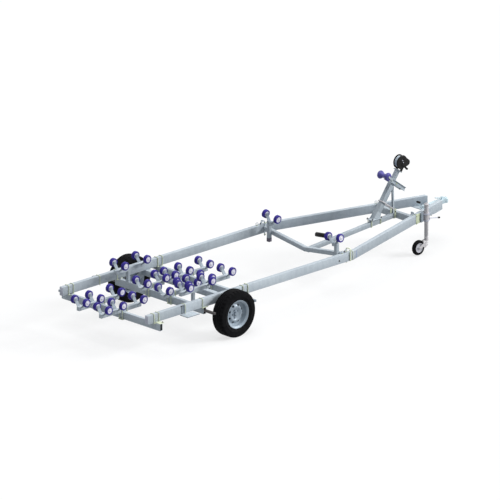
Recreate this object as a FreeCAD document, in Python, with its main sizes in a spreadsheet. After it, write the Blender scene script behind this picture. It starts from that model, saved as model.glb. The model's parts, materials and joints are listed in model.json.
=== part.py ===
"""Single-axle multi-roller boat trailer, as an assembly of named sub-parts.

Frame: +X forward to the coupling, +Y to the left, +Z up, the floor at Z = 0 and the origin on the
floor under the middle of the overall box. Lengths are in millimetres. Stations along the trailer are
measured forward from a line just behind the side rails, and every Body is then shifted back by MIDDLE.
"""
import FreeCAD, Part
import os
import re
import Sketcher
from FreeCAD import Rotation, Vector
from math import pi

# alias, value, meaning
DIMENSIONS = (
    ("railHeight", 120, "side rail, box section"),
    ("railWidth", 60, "side rail, box section"),
    ("railWall", 4, "wall of every box section"),
    ("railBottom", 467, "underside of the side rails above the floor"),
    ("railRearX", 60, "rear end of the side rails"),
    ("railSpread", 824, "centre line of a side rail from the middle plane"),
    ("kinkX", 3915, "station where the rails turn in"),
    ("drawbarEndX", 6278, "front end of the converging rails"),
    ("drawbarTaper", 0.288, "sideways run of a converging rail per length"),
    ("memberHeight", 100, "crossmember, box section"),
    ("memberDepth", 50, "crossmember, box section, along the trailer"),
    ("memberWall", 5, "crossmember, box section"),
    ("memberReach", 950, "half length of the rear crossmember"),
    ("shortReach", 854, "half length of the crossmembers either side of the wheels"),
    ("guardBar", 30, "bar for a mudguard, out of a crossmember's end"),
    ("guardReach", 1050, "outer ends of those bars from the middle plane"),
    ("guardLap", 60, "those bars inside the crossmember"),
    ("rearMemberX", 210, "station of the rear crossmember"),
    ("midMemberX", 1115, "station of the middle crossmember"),
    ("frontMemberX", 1873, "station of the front crossmember"),
    ("bowMemberX", 3847, "station of the bent crossmember"),
    ("bowMemberSize", 60, "bent crossmember, square section"),
    ("bowMemberMidZ", 400, "underside of the bent crossmember in the middle"),
    ("bowMemberRise", 106, "rise of the bent crossmember towards the rails"),
    ("keelSize", 60, "keel beam, square section"),
    ("keelRearZ", 376, "underside of the keel beam at its rear end"),
    ("keelSlope", 0.0682, "rise of the keel beam per length"),
    ("noseMemberX", 5580, "station of the nose crossmember"),
    ("noseMemberHeight", 90, "nose crossmember"),
    ("noseMemberDepth", 60, "nose crossmember"),
    ("axleX", 1636, "station of the torsion axle tube"),
    ("axleSize", 80, "torsion axle tube, square section"),
    ("armInnerY", 862, "inner face of a swing arm"),
    ("armThick", 24, "swing arm"),
    ("armEnd", 40, "round end of a swing arm"),
    ("stubRadius", 25, "stub axle"),
    ("wheelX", 1506, "station of the road wheels"),
    ("wheelY", 1010, "middle plane of a road wheel"),
    ("tyreRadius", 325, "road tyre"),
    ("tyreWidth", 195, "road tyre"),
    ("seatRadius", 178, "bead seat of the road rim"),
    ("flangeRadius", 197, "flange of the road rim"),
    ("rollerRadius", 59, "hull roller"),
    ("rollerWidth", 48, "hull roller"),
    ("rollerSplit", 113.5, "middle of a roller from the middle of its pair"),
    ("rollerAxleZ", 594, "roller axles of the low cradles above the floor"),
    ("pinRadius", 10, "roller axle pin"),
    ("runningFit", 0.08, "radial clearance of every running fit"),
    ("rearRollerX", -168, "station of the rearmost rollers"),
    ("cradleY", 215, "cradle arm from the middle plane"),
    ("armHeight", 56, "cradle arm, box section"),
    ("armWidth", 50, "cradle arm, box section"),
    ("cheekThick", 5, "roller bracket plate"),
    ("cheekLength", 54, "roller bracket plate, along the trailer"),
    ("cheekReach", 84, "outer face of a roller bracket from the middle of its pair"),
    ("outriggerY", 628, "raised cradle arm from the middle plane"),
    ("outriggerRise", 153, "raised rollers above the low ones"),
    ("outriggerLength", 540, "raised cradle arm"),
    ("outriggerShift", 26, "raised cradle arm's middle ahead of its crossmember"),
    ("outriggerPost", 40, "post of a raised cradle arm, square section"),
    ("guideY", 604, "bow guide rollers from the middle plane"),
    ("guideX", 3793, "station of the bow guide posts"),
    ("guideAxleZ", 756, "axle of the bow guide rollers above the floor"),
    ("guidePostY", 650, "bow guide post from the middle plane"),
    ("guidePostSize", 48, "bow guide post, square section"),
    ("guidePostFootZ", 392, "foot of a bow guide post above the floor"),
    ("guideTilt", 7, "bow guide rollers, degrees down towards the middle"),
    ("guideDrop", 121, "foot of a bow guide bracket below its axle"),
    ("sleeveRadius", 31, "rubber sleeve at the inner end of the right bow guide"),
    ("sleeveLength", 150, "rubber sleeve at the inner end of the right bow guide"),
    ("postFootX", 5153, "station of the winch post at its foot"),
    ("postFootZ", 550, "foot of the winch post above the floor"),
    ("postRun", 467, "forward lean of the winch post"),
    ("postRise", 633, "height of the winch post"),
    ("postDepth", 75, "winch post section in the plane of its lean"),
    ("postWidth", 66, "winch post section across the trailer"),
    ("postJoint", 600, "top of the winch post's lower tube, along the post"),
    ("postHead", 730, "top of its upper tube, along the post"),
    ("headDepth", 56, "upper tube in the plane of its lean"),
    ("headWidth", 52, "upper tube across the trailer"),
    ("headRearLip", 12, "head plate behind the upper tube"),
    ("headFrontLip", 30, "head plate in front of the upper tube"),
    ("headPlateWidth", 90, "head plate across the trailer"),
    ("footReach", 100, "half length of the winch post's base plate"),
    ("footWidth", 120, "base plate across the trailer"),
    ("gussetTop", 140, "top of the foot gussets, along the post"),
    ("plateThick", 8, "base plate, head plate and straps"),
    ("gussetThick", 6, "plates of the winch post and the nose"),
    ("braceBar", 14, "bar of the loop round the winch post"),
    ("braceX", 5509, "station where the loop and the front stay meet the keel"),
    ("braceZ", 607, "front end of the loop above the floor"),
    ("braceTop", 250, "loop round the winch post, along the post"),
    ("stayWidth", 25, "front stay, square section"),
    ("stayLean", 15, "rearward lean of the front stay over its height"),
    ("clampBar", 10, "bar of a saddle clamp"),
    ("clampOffset", 44, "saddle clamps before and behind a crossmember's middle"),
    ("clampFoot", 18, "legs of a saddle clamp below the crossmember"),
    ("hoopRise", 50, "top of the flat hoops at the bent crossmember above the rail"),
    ("hoopDrop", 40, "inner legs of the hoops below the rail"),
    ("hoopWidth", 36, "hoops along the trailer"),
    ("stepX", 765, "station of the side steps"),
    ("stepLength", 230, "side step"),
    ("stepDepth", 150, "side step"),
    ("stepThick", 8, "side step and its straps"),
    ("stepStrapX", -75, "rear strap of a side step from its middle"),
    ("stepStrapGap", 35, "from one strap to the other"),
    ("stepStrapWidth", 12, "strap of a side step"),
    ("winchX", 5640, "station of the winch drum"),
    ("winchZ", 1250, "winch drum axis above the floor"),
    ("drumRadius", 98, "winch drum flange"),
    ("drumHalf", 36, "half width of the winch drum"),
    ("shaftRadius", 8, "shaft of the winch drum, the bow roller and the jockey wheel"),
    ("winchSideY", 43.5, "winch side frames from the middle plane"),
    ("winchSideThick", 4, "winch side frames"),
    ("gearRadius", 91, "winch cover about its large gear"),
    ("pinionRadius", 45, "winch cover about its pinion"),
    ("gearX", 5613, "station of the large gear"),
    ("gearZ", 1262, "large gear above the floor"),
    ("pinionX", 5714, "station of the pinion"),
    ("pinionZ", 1238, "pinion above the floor"),
    ("coverThick", 25, "winch cover"),
    ("bowRollerX", 5338, "station of the bow roller"),
    ("bowRollerZ", 1120, "axis of the bow roller above the floor"),
    ("bowRollerRadius", 58, "bow roller at its ends"),
    ("bowRollerLength", 186, "bow roller"),
    ("bowBand", 56, "channels that carry the bow roller"),
    ("bowLip", 18, "flanges of those channels"),
    ("bowWall", 5, "walls of those channels"),
    ("bowFront", 240, "front ends of those channels from the post's middle"),
    ("bowRear", 124, "rear ends of those channels from the post's middle"),
    ("couplingZ", 467, "underside of the coupling shaft"),
    ("couplingWidth", 60, "coupling shaft"),
    ("couplingLap", 200, "coupling shaft behind the rails' front ends"),
    ("headRadius", 39, "ball housing of the coupling"),
    ("socketDepth", 40, "socket for the tow ball"),
    ("nosePlateLap", 230, "nose plate behind the rails' front ends"),
    ("ballRadius", 25.2, "socket for the tow ball"),
    ("ballX", 6506, "station of the tow ball"),
    ("jockeyX", 5794, "station of the jockey leg"),
    ("jockeyY", -352, "jockey leg from the middle plane"),
    ("jockeyTubeRadius", 30, "outer tube of the jockey leg"),
    ("jockeyLegRadius", 25, "inner leg"),
    ("jockeyTrail", 153, "jockey wheel behind its leg"),
    ("jockeyWheelRadius", 105, "jockey wheel"),
    ("jockeyWheelWidth", 58, "jockey wheel"),
    ("jockeyTubeBottom", 440, "outer tube of the jockey leg above the floor"),
    ("jockeyTubeTop", 697, "outer tube of the jockey leg above the floor"),
    ("jockeyLegTop", 500, "inner leg above the floor"),
    ("jockeyCrown", 185, "top of the jockey fork above the floor"),
    ("collarRadius", 36, "collar of the jockey clamp"),
    ("collarHeight", 84, "collar of the jockey clamp"),
    ("leverLength", 170, "jockey crank arm and clamp lever"),
)
MIDDLE = "(ballX + headRadius + rearRollerX - rollerRadius) / 2"   # middle of the overall length
DRAWBAR_SLANT = "sqrt(1 + drawbarTaper ^ 2)"
HALF_BEND = "((sqrt(1 + drawbarTaper ^ 2) - 1) / drawbarTaper)"   # tangent of half the rails' turn
POST_LENGTH = "sqrt(postRun ^ 2 + postRise ^ 2)"
BASE_TOP = "(postFootZ + plateThick)"   # top of the winch post's base plate
BAND_LOW = "(postJoint - bowBand - 8)"   # the bow roller's channels, along the winch post
BAND_HIGH = "(postJoint - 8)"
SIDES = (("left", 1), ("right", -1))

doc = FreeCAD.newDocument("BoatTrailer")
sheet = doc.addObject("Spreadsheet::Sheet", "Dims")
for row, (alias, value, meaning) in enumerate(DIMENSIONS, start=1):
    sheet.set(f"A{row}", alias)
    sheet.set(f"B{row}", str(value))
    sheet.set(f"C{row}", meaning)
    sheet.setAlias(f"B{row}", alias)
doc.recompute()

ALIASES = {alias for alias, value, meaning in DIMENSIONS}
SUB_PARTS = []   # the objects that are written, one file each


def linked(formula):
    """The formula with every alias read from the sheet."""
    return re.sub(r"[A-Za-z]\w*", lambda word: f"Dims.{word[0]}" if word[0] in ALIASES else word[0],
                  str(formula))


def number(formula):
    """The formula's value now, for a first guess that its expression then holds."""
    return float(sheet.evalExpression(str(formula)))


def place(thing, x, y, z):
    """Bind a Placement to stations in the trailer; x is measured from the rails' rear end."""
    for axis, formula in zip("xyz", (f"({x}) - {MIDDLE}", y, z)):
        thing.setExpression(f".Placement.Base.{axis}", linked(formula))


def sub_part(thing, name):
    """Name a finished object as a sub-part of the trailer."""
    thing.Label = name
    SUB_PARTS.append(thing)
    return thing


def block(name, size, centre):
    """A box of the three sizes about a centre."""
    box = doc.addObject("Part::Box", name)
    for side, formula in zip(("Length", "Width", "Height"), size):
        box.setExpression(side, linked(formula))
    place(box, *(f"({middle}) - ({formula}) / 2" for middle, formula in zip(centre, size)))
    return box


def rod(name, radius, length, centre, axis):
    """A round bar about a centre, along one of the trailer's axes."""
    bar = doc.addObject("Part::Cylinder", name)
    bar.setExpression("Radius", linked(radius))
    bar.setExpression("Height", linked(length))
    turn = {"x": Rotation(Vector(0, 1, 0), 90), "y": Rotation(Vector(1, 0, 0), -90), "z": Rotation()}[axis]
    bar.Placement.Rotation = turn
    along = "xyz".index(axis)
    start = [f"({middle}) - ({length}) / 2" if i == along else middle for i, middle in enumerate(centre)]
    place(bar, *start)
    return bar


def fuse(name, *things):
    """One solid from pieces that touch, or one object from solids that do not."""
    union = doc.addObject("Part::MultiFuse", name)
    union.Shapes = list(things)
    return union


def cut(name, base, tool):
    """The base less the tool."""
    rest = doc.addObject("Part::Cut", name)
    rest.Base = base
    rest.Tool = tool
    return rest


def outline(body, plane, points, name):
    """A closed sketch of straight lines whose corners are bound to formulas."""
    sketch = body.newObject("Sketcher::SketchObject", name)
    support = [feature for feature in body.Origin.OriginFeatures if feature.Role == plane][0]
    sketch.AttachmentSupport = (support, [""])
    sketch.MapMode = "FlatFace"
    corners = [Vector(number(u), number(v), 0) for u, v in points]
    for corner, following in zip(corners, corners[1:] + corners[:1]):
        sketch.addGeometry(Part.LineSegment(corner, following), False)
    for i in range(len(points)):
        sketch.addConstraint(Sketcher.Constraint("Coincident", i, 2, (i + 1) % len(points), 1))
    for i, (u, v) in enumerate(points):
        for kind, formula in (("DistanceX", u), ("DistanceY", v)):
            index = sketch.addConstraint(Sketcher.Constraint(kind, -1, 1, i, 1, number(formula)))
            sketch.setExpression(f"Constraints[{index}]", linked(formula))
    return sketch


def prism(name, plane, points, depth, centre=(0, 0, 0), hollow=None):
    """A Body padded both ways from its plane. hollow is (points, depth) of a cavity through it."""
    body = doc.addObject("PartDesign::Body", name)
    pad = body.newObject("PartDesign::Pad", name + "_pad")
    pad.Profile = outline(body, plane, points, name + "_outline")
    pad.SideType = "Symmetric"
    pad.setExpression("Length", linked(depth))
    body.Tip = pad
    if hollow:
        inside, inside_depth = hollow
        pocket = body.newObject("PartDesign::Pocket", name + "_pocket")
        pocket.Profile = outline(body, plane, inside, name + "_inside")
        pocket.SideType = "Symmetric"
        pocket.setExpression("Length", linked(inside_depth))
        body.Tip = pocket
    place(body, *centre)
    return body


def turned(name, points, centre, plane="XY_Plane"):
    """A Body revolved about its own Y axis, or Z in the XZ plane; the points are (radius, height)."""
    body = doc.addObject("PartDesign::Body", name)
    sketch = outline(body, plane, points, name + "_outline")
    spin = body.newObject("PartDesign::Revolution", name + "_spin")
    spin.Profile = sketch
    spin.ReferenceAxis = (sketch, ["V_Axis"])
    spin.Angle = 360
    body.Tip = spin
    place(body, *centre)
    return body


def tilt(thing, degrees):
    """Turn a piece that lies along the trailer's width, about the X axis."""
    rotation = thing.Placement.Rotation
    turn = f"{round(rotation.Angle * rotation.Axis.x * 180 / pi)} + ({degrees})"
    return turned_about(thing, Vector(1, 0, 0), turn)


def turned_about(thing, axis, angle):
    """Turn a piece about an axis through its own origin, by an angle in degrees that stays bound."""
    thing.Placement.Rotation = Rotation(axis, number(angle))
    thing.setExpression(".Placement.Rotation.Angle", linked(angle))
    return thing


def disc_link(name, first, second, radii, thick, y):
    """A flat plate with round ends about two points of the XZ plane, and straight sides between them."""
    (x1, z1), (x2, z2) = first, second
    r1, r2 = radii
    ends = [rod(f"{name}_{i}", radius, thick, (x, y, z), "y")
            for i, ((x, z), radius) in enumerate(((first, r1), (second, r2)))]
    span = f"sqrt((({x2}) - ({x1})) ^ 2 + (({z2}) - ({z1})) ^ 2)"
    along = f"(({r1}) - ({r2})) / {span}"
    square = f"sqrt(1 - ({along}) ^ 2)"
    dx, dz = f"((({x2}) - ({x1})) / {span})", f"((({z2}) - ({z1})) / {span})"

    def touch(x, z, radius, hand):
        return (f"({x}) + ({radius}) * ({along} * {dx} - {hand} * {square} * {dz})",
                f"({z}) + ({radius}) * ({along} * {dz} + {hand} * {square} * {dx})")
    sides = [touch(x1, z1, r1, -1), touch(x2, z2, r2, -1), touch(x2, z2, r2, 1), touch(x1, z1, r1, 1)]
    ends.append(prism(f"{name}_web", "XZ_Plane", sides, thick, centre=("0", y, "0")))
    return fuse(name, *ends)


def drawbar_y(x, offset="0"):
    """Sideways place of a converging rail's line at a station, offset square to the rail."""
    return f"railSpread - drawbarTaper * (({x}) - kinkX) + ({offset}) * {DRAWBAR_SLANT}"


def side_rails():
    """Box-section rails: straight and parallel behind the kink, converging ahead of it."""
    for side, sign in SIDES:
        def edge(half):
            y, bend_x = f"railSpread + {half}", f"kinkX + ({half}) * {HALF_BEND}"
            return [("railRearX", y), (bend_x, y), ("drawbarEndX", drawbar_y("drawbarEndX", half))]

        def loop(half):
            points = edge(half) + edge(f"(-{half})")[::-1]
            return [(x, f"{sign} * ({y})") for x, y in points]

        rail = prism(f"rail_{side}", "XY_Plane", loop("(railWidth / 2)"), "railHeight",
                     centre=("0", "0", "railBottom + railHeight / 2"),
                     hollow=(loop("(railWidth / 2 - railWall)"), "railHeight - 2 * railWall"))
        sub_part(fuse(f"side_rail_{side}", rail, *side_step(side, sign)), f"side_rail_{side}")


def side_step(side, sign):
    """Hanger straps down the rail's outer face, and the step plate they carry behind the wheel."""
    outer = "railSpread + railWidth / 2"
    top, foot = "railBottom + railHeight", "railBottom - 3 - stepThick"
    pieces = []
    strap_y = f"{sign} * ({outer} + stepThick / 2)"
    for i, offset in enumerate(("stepStrapX", "stepStrapX + stepStrapGap")):
        pieces.append(block(f"step_strap_{side}_{i}", ("stepStrapWidth", "stepThick", f"{top} - ({foot})"),
                            (f"stepX + {offset}", strap_y, f"({top} + {foot}) / 2")))
    pieces.append(block(f"step_plate_{side}", ("stepLength", "stepDepth", "stepThick"),
                        ("stepX", f"{sign} * ({outer} + stepDepth / 2)", f"{foot} + stepThick / 2")))
    return pieces


def saddle_clamps():
    """Inverted U bars over each rail and cradle arm, through a plate under the crossmember."""
    made = []
    under = "railBottom - memberHeight"
    seats = []
    for member, station in (("rear", "rearMemberX"), ("middle", "midMemberX"), ("front", "frontMemberX")):
        for side, sign in SIDES:
            seats.append((f"rail_{member}_{side}", station, f"{sign} * railSpread", "railWidth",
                          "railHeight"))
            seats.append((f"arm_{member}_{side}", station, f"{sign} * cradleY", "armWidth", "armHeight"))
    for name, station, y, width, height in seats:
        inner, outer = f"({width}) / 2 + 1", f"({width}) / 2 + 1 + clampBar"
        foot, top = f"{under} - clampFoot", f"railBottom + {height}"
        crown = f"{top} + clampBar"
        bow = [(f"-({outer})", foot), (f"-({inner})", foot), (f"-({inner})", top), (inner, top),
               (inner, foot), (outer, foot), (outer, crown), (f"-({outer})", crown)]
        pieces = [prism(f"bow_{name}_{end}", "YZ_Plane", bow, "clampBar",
                        centre=(f"{station} {hand} clampOffset", y, "0"))
                  for end, hand in (("behind", "-"), ("before", "+"))]
        pieces.append(block(f"plate_{name}", ("2 * clampOffset + clampBar + 14", f"2 * ({outer}) + 12", 6),
                            (station, y, f"{under} - 3")))
        made.append(fuse(f"clamp_{name}", *pieces))
    half = "(railWidth / 2 + 1)"
    crest = "railBottom + railHeight + hoopRise"
    for side, sign in SIDES:
        outer, foot, top = f"({half} + plateThick)", "railBottom - hoopDrop", f"{crest} + plateThick"
        hoop = [(f"-{outer}", foot), (f"-{half}", foot), (f"-{half}", crest), (half, crest),
                (half, "railBottom"), (outer, "railBottom"), (outer, top), (f"-{outer}", top)]
        hoop = [(f"{sign} * ({across})", z) for across, z in hoop]
        made.append(prism(f"hoop_{side}", "YZ_Plane", hoop, "hoopWidth",
                          centre=("bowMemberX", f"{sign} * railSpread", "0")))
    sub_part(fuse("saddle_clamps", *made), "saddle_clamps")


def crossmembers():
    """Three straight box sections under the rails, and the two forward members."""
    for name, station, reach in (("rear", "rearMemberX", "memberReach"),
                                 ("middle", "midMemberX", "shortReach"),
                                 ("front", "frontMemberX", "shortReach")):
        middle = "railBottom - memberHeight / 2"

        def section(inset):
            across, up = f"(memberDepth / 2 - {inset})", f"(memberHeight / 2 - {inset})"
            return [(f"-{across}", f"-{up}"), (across, f"-{up}"), (across, up), (f"-{across}", up)]
        member = prism(f"member_{name}", "XZ_Plane", section("0"), f"2 * {reach}",
                       centre=(station, "0", middle), hollow=(section("memberWall"), f"2 * {reach}"))
        if name != "rear":
            member = fuse(f"barred_{name}", member, *guard_bars(name, station, middle))
        sub_part(member, f"crossmember_{name}")
    reach = "railSpread - railWidth / 2 - 1 - plateThick"
    low, high = "bowMemberMidZ", "bowMemberMidZ + bowMemberRise"
    bent = [(f"-({reach})", high), ("0", low), (reach, high), (reach, f"{high} + bowMemberSize"),
            ("0", f"{low} + bowMemberSize"), (f"-({reach})", f"{high} + bowMemberSize")]
    sub_part(prism("bow_crossmember", "YZ_Plane", bent, "bowMemberSize", centre=("bowMemberX", "0", "0")),
             "bow_crossmember")
    ends = [f"noseMemberX {sign} noseMemberDepth / 2" for sign in "-+"]
    plan = [(ends[0], f"-({drawbar_y(ends[0], '-railWidth / 2')})"),
            (ends[1], f"-({drawbar_y(ends[1], '-railWidth / 2')})"),
            (ends[1], drawbar_y(ends[1], "-railWidth / 2")),
            (ends[0], drawbar_y(ends[0], "-railWidth / 2"))]
    sub_part(prism("nose_crossmember", "XY_Plane", plan, "noseMemberHeight",
                   centre=("0", "0", "railBottom + noseMemberHeight / 2")), "nose_crossmember")


def guard_bars(name, station, z):
    """Bars for the mudguards, held in the two ends of a crossmember."""
    length = "guardReach - shortReach + guardLap"
    return [block(f"guard_bar_{name}_{side}", ("memberDepth - 2 * memberWall", length, "guardBar"),
                  (station, f"{sign} * (guardReach - ({length}) / 2)", z)) for side, sign in SIDES]


def keel_top(x):
    """Height of the keel beam's top face at a station."""
    return f"keelRearZ + keelSize + keelSlope * (({x}) - bowMemberX - bowMemberSize / 2)"


def keel_beam():
    """The sloping middle beam between the bent and the nose crossmember."""
    rear, front = "bowMemberX + bowMemberSize / 2", "noseMemberX - noseMemberDepth / 2"
    side = [(rear, f"{keel_top(rear)} - keelSize"), (front, f"{keel_top(front)} - keelSize"),
            (front, keel_top(front)), (rear, keel_top(rear))]
    sub_part(prism("keel_beam", "XZ_Plane", side, "keelSize"), "keel_beam")


def torsion_axle():
    """Square axle tube under the rails, with a trailing arm and stub axle at each end."""
    middle = "railBottom - axleSize / 2"
    sub_part(block("torsion_axle", ("axleSize", "2 * armInnerY", "axleSize"), ("axleX", "0", middle)),
             "torsion_axle")
    for side, sign in SIDES:
        y = f"{sign} * (armInnerY + armThick / 2)"
        arm = disc_link(f"arm_{side}", ("axleX", middle), ("wheelX", "tyreRadius"), ("armEnd", "armEnd"),
                        "armThick", y)
        stub = rod(f"stub_{side}", "stubRadius", "wheelY - armInnerY",
                   ("wheelX", f"{sign} * (armInnerY + (wheelY - armInnerY) / 2)", "tyreRadius"), "y")
        sub_part(fuse(f"swing_arm_{side}", arm, stub), f"swing_arm_{side}")


def road_wheels():
    """Tyre and dished steel rim with its hub; the pair turns as one."""
    half = "tyreWidth / 2"
    tyre = [("seatRadius + 0.3", f"-{half} * 0.72"), ("seatRadius + 22", f"-{half} * 0.86"),
            ("tyreRadius * 0.78", f"-{half}"), ("tyreRadius * 0.92", f"-{half} * 0.92"),
            ("tyreRadius * 0.985", f"-{half} * 0.76"), ("tyreRadius", f"-{half} * 0.55"),
            ("tyreRadius", f"{half} * 0.55"), ("tyreRadius * 0.985", f"{half} * 0.76"),
            ("tyreRadius * 0.92", f"{half} * 0.92"), ("tyreRadius * 0.78", half),
            ("seatRadius + 22", f"{half} * 0.86"), ("seatRadius + 0.3", f"{half} * 0.72")]
    bore = "stubRadius + runningFit"
    for side, sign in SIDES:
        def out(y):
            return f"{sign} * ({y})"
        rim = [(bore, out("-100")), ("60", out("-100")), ("100", out("-98")), ("100", out("-50")),
               ("60", out("-46")), ("60", out("20")), ("120", out("34")), ("150", out("12")),
               ("162", out("-64")), ("seatRadius - 8", out("-76")), ("flangeRadius", out("-88")),
               ("flangeRadius", out("-84")), ("seatRadius", out("-71")), ("seatRadius", out("71")),
               ("flangeRadius", out("84")), ("flangeRadius", out("88")), ("seatRadius - 8", out("76")),
               ("158", out("30")), ("125", out("46")), ("58", out("34")), ("44", out("62")),
               (bore, out("62"))]
        where = ("wheelX", f"{sign} * wheelY", "tyreRadius")
        sub_part(turned(f"road_tyre_{side}", tyre, where), f"road_tyre_{side}")
        sub_part(turned(f"road_rim_{side}", rim, where), f"road_rim_{side}")


def roller(name, x, y, z, inner):
    """One hull roller, bored from the side that faces its bracket; inner is that side's sign."""
    half = "rollerWidth / 2"
    bore = "pinRadius + runningFit"
    points = [("0", f"{-inner} * {half}"), ("rollerRadius - 6", f"{-inner} * {half}"),
              ("rollerRadius", f"{-inner} * ({half} - 6)"), ("rollerRadius", f"{inner} * ({half} - 6)"),
              ("rollerRadius - 6", f"{inner} * {half}"), (bore, f"{inner} * {half}"),
              (bore, f"{-inner} * ({half} - 8)"), ("0", f"{-inner} * ({half} - 8)")]
    return turned(name, points, (x, y, z))


def tilted(y, z, across, up, degrees):
    """A point given across and above the middle of a tilted axle, as a place in the YZ plane."""
    if degrees == "0":
        return f"({y}) + ({across})", f"({z}) + ({up})"
    return (f"({y}) + ({across}) * cos({degrees}) - ({up}) * sin({degrees})",
            f"({z}) + ({across}) * sin({degrees}) + ({up}) * cos({degrees})")


def roller_pair(name, x, y, z, degrees="0", extra=()):
    """Two rollers on one axle line, either side of their bracket."""
    pair = []
    for side, sign in SIDES:
        seat = tilted(y, z, f"{sign} * rollerSplit", "0", degrees)
        pair.append(tilt(roller(f"{name}_{side}", x, *seat, -sign), degrees))
    return sub_part(fuse(name, *pair, *extra), name)


def cheeks(name, x, y, z, drop, degrees="0"):
    """The flared bracket of a roller pair, two bent plates with their axle pins; drop is down to its foot."""
    made = []
    for side, sign in SIDES:
        inner, outer = "armWidth / 2", "cheekReach"
        strip = [(inner, f"-({drop})"), (f"{inner} + cheekThick", f"-({drop})"),
                 (f"{inner} + cheekThick", f"30 - ({drop})"), (outer, "-22"), (outer, "20"),
                 (f"{outer} - cheekThick", "20"), (f"{outer} - cheekThick", "-20"),
                 (inner, f"33 - ({drop})")]
        points = [tilted(y, z, f"{sign} * ({across})", up, degrees) for across, up in strip]
        made.append(prism(f"{name}_cheek_{side}", "YZ_Plane", points, "cheekLength", centre=(x, "0", "0")))
        length = "rollerSplit + rollerWidth / 2 - 10 - cheekReach + cheekThick"
        start = f"({sign} * (cheekReach - cheekThick + ({length}) / 2) - ({length}) / 2)"
        pin = rod(f"{name}_pin_{side}", "pinRadius", length, (x, "0", "0"), "y")
        place(pin, x, *tilted(y, z, start, "0", degrees))
        made.append(tilt(pin, degrees))
    return made


# cradle name, arm's rear and front ends and its roller stations, from its crossmember
CRADLES = (
    ("rear", "rearMemberX", -426, 317, (("tail", -378), ("mid", -112), ("lead", 274))),
    ("middle", "midMemberX", -190, 262, (("tail", -144), ("lead", 205))),
    ("front", "frontMemberX", -426, 317, (("tail", -382), ("mid", -112), ("lead", 269))),
)


def cradles():
    """Low cradle arms in pairs across the crossmembers, each with its roller brackets."""
    for cradle, member, rear, front, stations in CRADLES:
        arms = []
        for side, sign in SIDES:
            y = f"{sign} * cradleY"
            name = f"cradle_{cradle}_{side}"
            pieces = [block(name, (front - rear, "armWidth", "armHeight"),
                            (f"{member} + {(front + rear) / 2}", y, "railBottom + armHeight / 2"))]
            for spot, offset in stations:
                x = f"{member} + {offset}"
                pieces += cheeks(f"{name}_{spot}", x, y, "rollerAxleZ", "rollerAxleZ - railBottom - 6")
                roller_pair(f"rollers_{cradle}_{spot}_{side}", x, y, "rollerAxleZ")
            arms.append(fuse(f"{name}_arm", *pieces))
        sub_part(fuse(f"cradle_{cradle}", *arms), f"cradle_{cradle}")


def outriggers():
    """Raised arms on posts at the middle crossmember's ends."""
    foot = "railBottom + outriggerRise"
    axle = "rollerAxleZ + outriggerRise"
    for side, sign in SIDES:
        y = f"{sign} * outriggerY"
        name = f"outrigger_{side}"
        pieces = [block(f"{name}_arm", ("outriggerLength", "armWidth", "armHeight"),
                        ("midMemberX + outriggerShift", y, f"{foot} + armHeight / 2")),
                  block(f"{name}_post", ("outriggerPost", "outriggerPost", "outriggerRise"),
                        ("midMemberX", y, "railBottom + outriggerRise / 2"))]
        for spot, offset in (("tail", -166), ("lead", 249)):
            x = f"midMemberX + {offset}"
            pieces += cheeks(f"{name}_{spot}", x, y, axle, f"{axle} - ({foot}) - 6")
            roller_pair(f"rollers_outrigger_{spot}_{side}", x, y, axle)
        sub_part(fuse(name, *pieces), name)


def bow_guides():
    """Posts behind the bent crossmember that carry the two bow guide roller pairs."""
    top = "guideAxleZ - guideDrop + guidePostSize"
    for side, sign in SIDES:
        y, degrees = f"{sign} * guideY", f"({sign} * guideTilt)"
        name = f"guide_post_{side}"
        inner = f"{sign} * (guidePostY - guidePostSize / 2)"
        head = [tilted(y, "guideAxleZ", f"-{sign} * armWidth / 2", "-guideDrop", degrees),
                (inner, f"{top} - guidePostSize"), (inner, top),
                tilted(y, "guideAxleZ", f"-{sign} * armWidth / 2", "guidePostSize - guideDrop", degrees)]
        pieces = [block(f"{name}_post", ("guidePostSize", "guidePostSize", f"{top} - guidePostFootZ"),
                        ("guideX", f"{sign} * guidePostY", f"({top} + guidePostFootZ) / 2")),
                  prism(f"{name}_head", "YZ_Plane", head, "guidePostSize", centre=("guideX", "0", "0"))]
        pieces += cheeks(name, "guideX", y, "guideAxleZ", "guideDrop", degrees)
        sub_part(fuse(name, *pieces), name)
        sleeve = []
        if side == "right":
            sleeve = [rod("guide_sleeve", "sleeveRadius", "sleeveLength", ("guideX", "0", "0"), "y")]
            start = tilted(y, "guideAxleZ", "rollerSplit + rollerWidth / 2", "0", degrees)
            place(sleeve[0], "guideX", *start)
            tilt(sleeve[0], degrees)
        roller_pair(f"rollers_guide_{side}", "guideX", y, "guideAxleZ", degrees, sleeve)


def on_post(along, across):
    """A point of the winch post's plane: along it from its foot, and across it to the front."""
    return (f"postFootX + (({along}) * postRun + ({across}) * postRise) / {POST_LENGTH}",
            f"postFootZ + (({along}) * postRise - ({across}) * postRun) / {POST_LENGTH}")


def post_face(x):
    """Height of the winch post's front face at a station."""
    return f"postFootZ + ((({x}) - postFootX) * postRise - (postDepth / 2) * {POST_LENGTH}) / postRun"


def keel_strap(name, x, depth, width, height):
    """A flat U strap under the keel beam, its legs up both sides; height is theirs, width between them."""
    z = f"{keel_top(f'{x} - {depth / 2}')} - keelSize"
    inner, outer = f"(({width}) / 2)", f"(({width}) / 2 + plateThick)"
    top, foot = f"{z} + ({height})", f"{z} - plateThick"
    points = [(f"-{outer}", top), (f"-{outer}", foot), (outer, foot), (outer, top), (inner, top), (inner, z),
              (f"-{inner}", z), (f"-{inner}", top)]
    return prism(name, "YZ_Plane", points, depth, centre=(x, "0", "0"))


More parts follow.
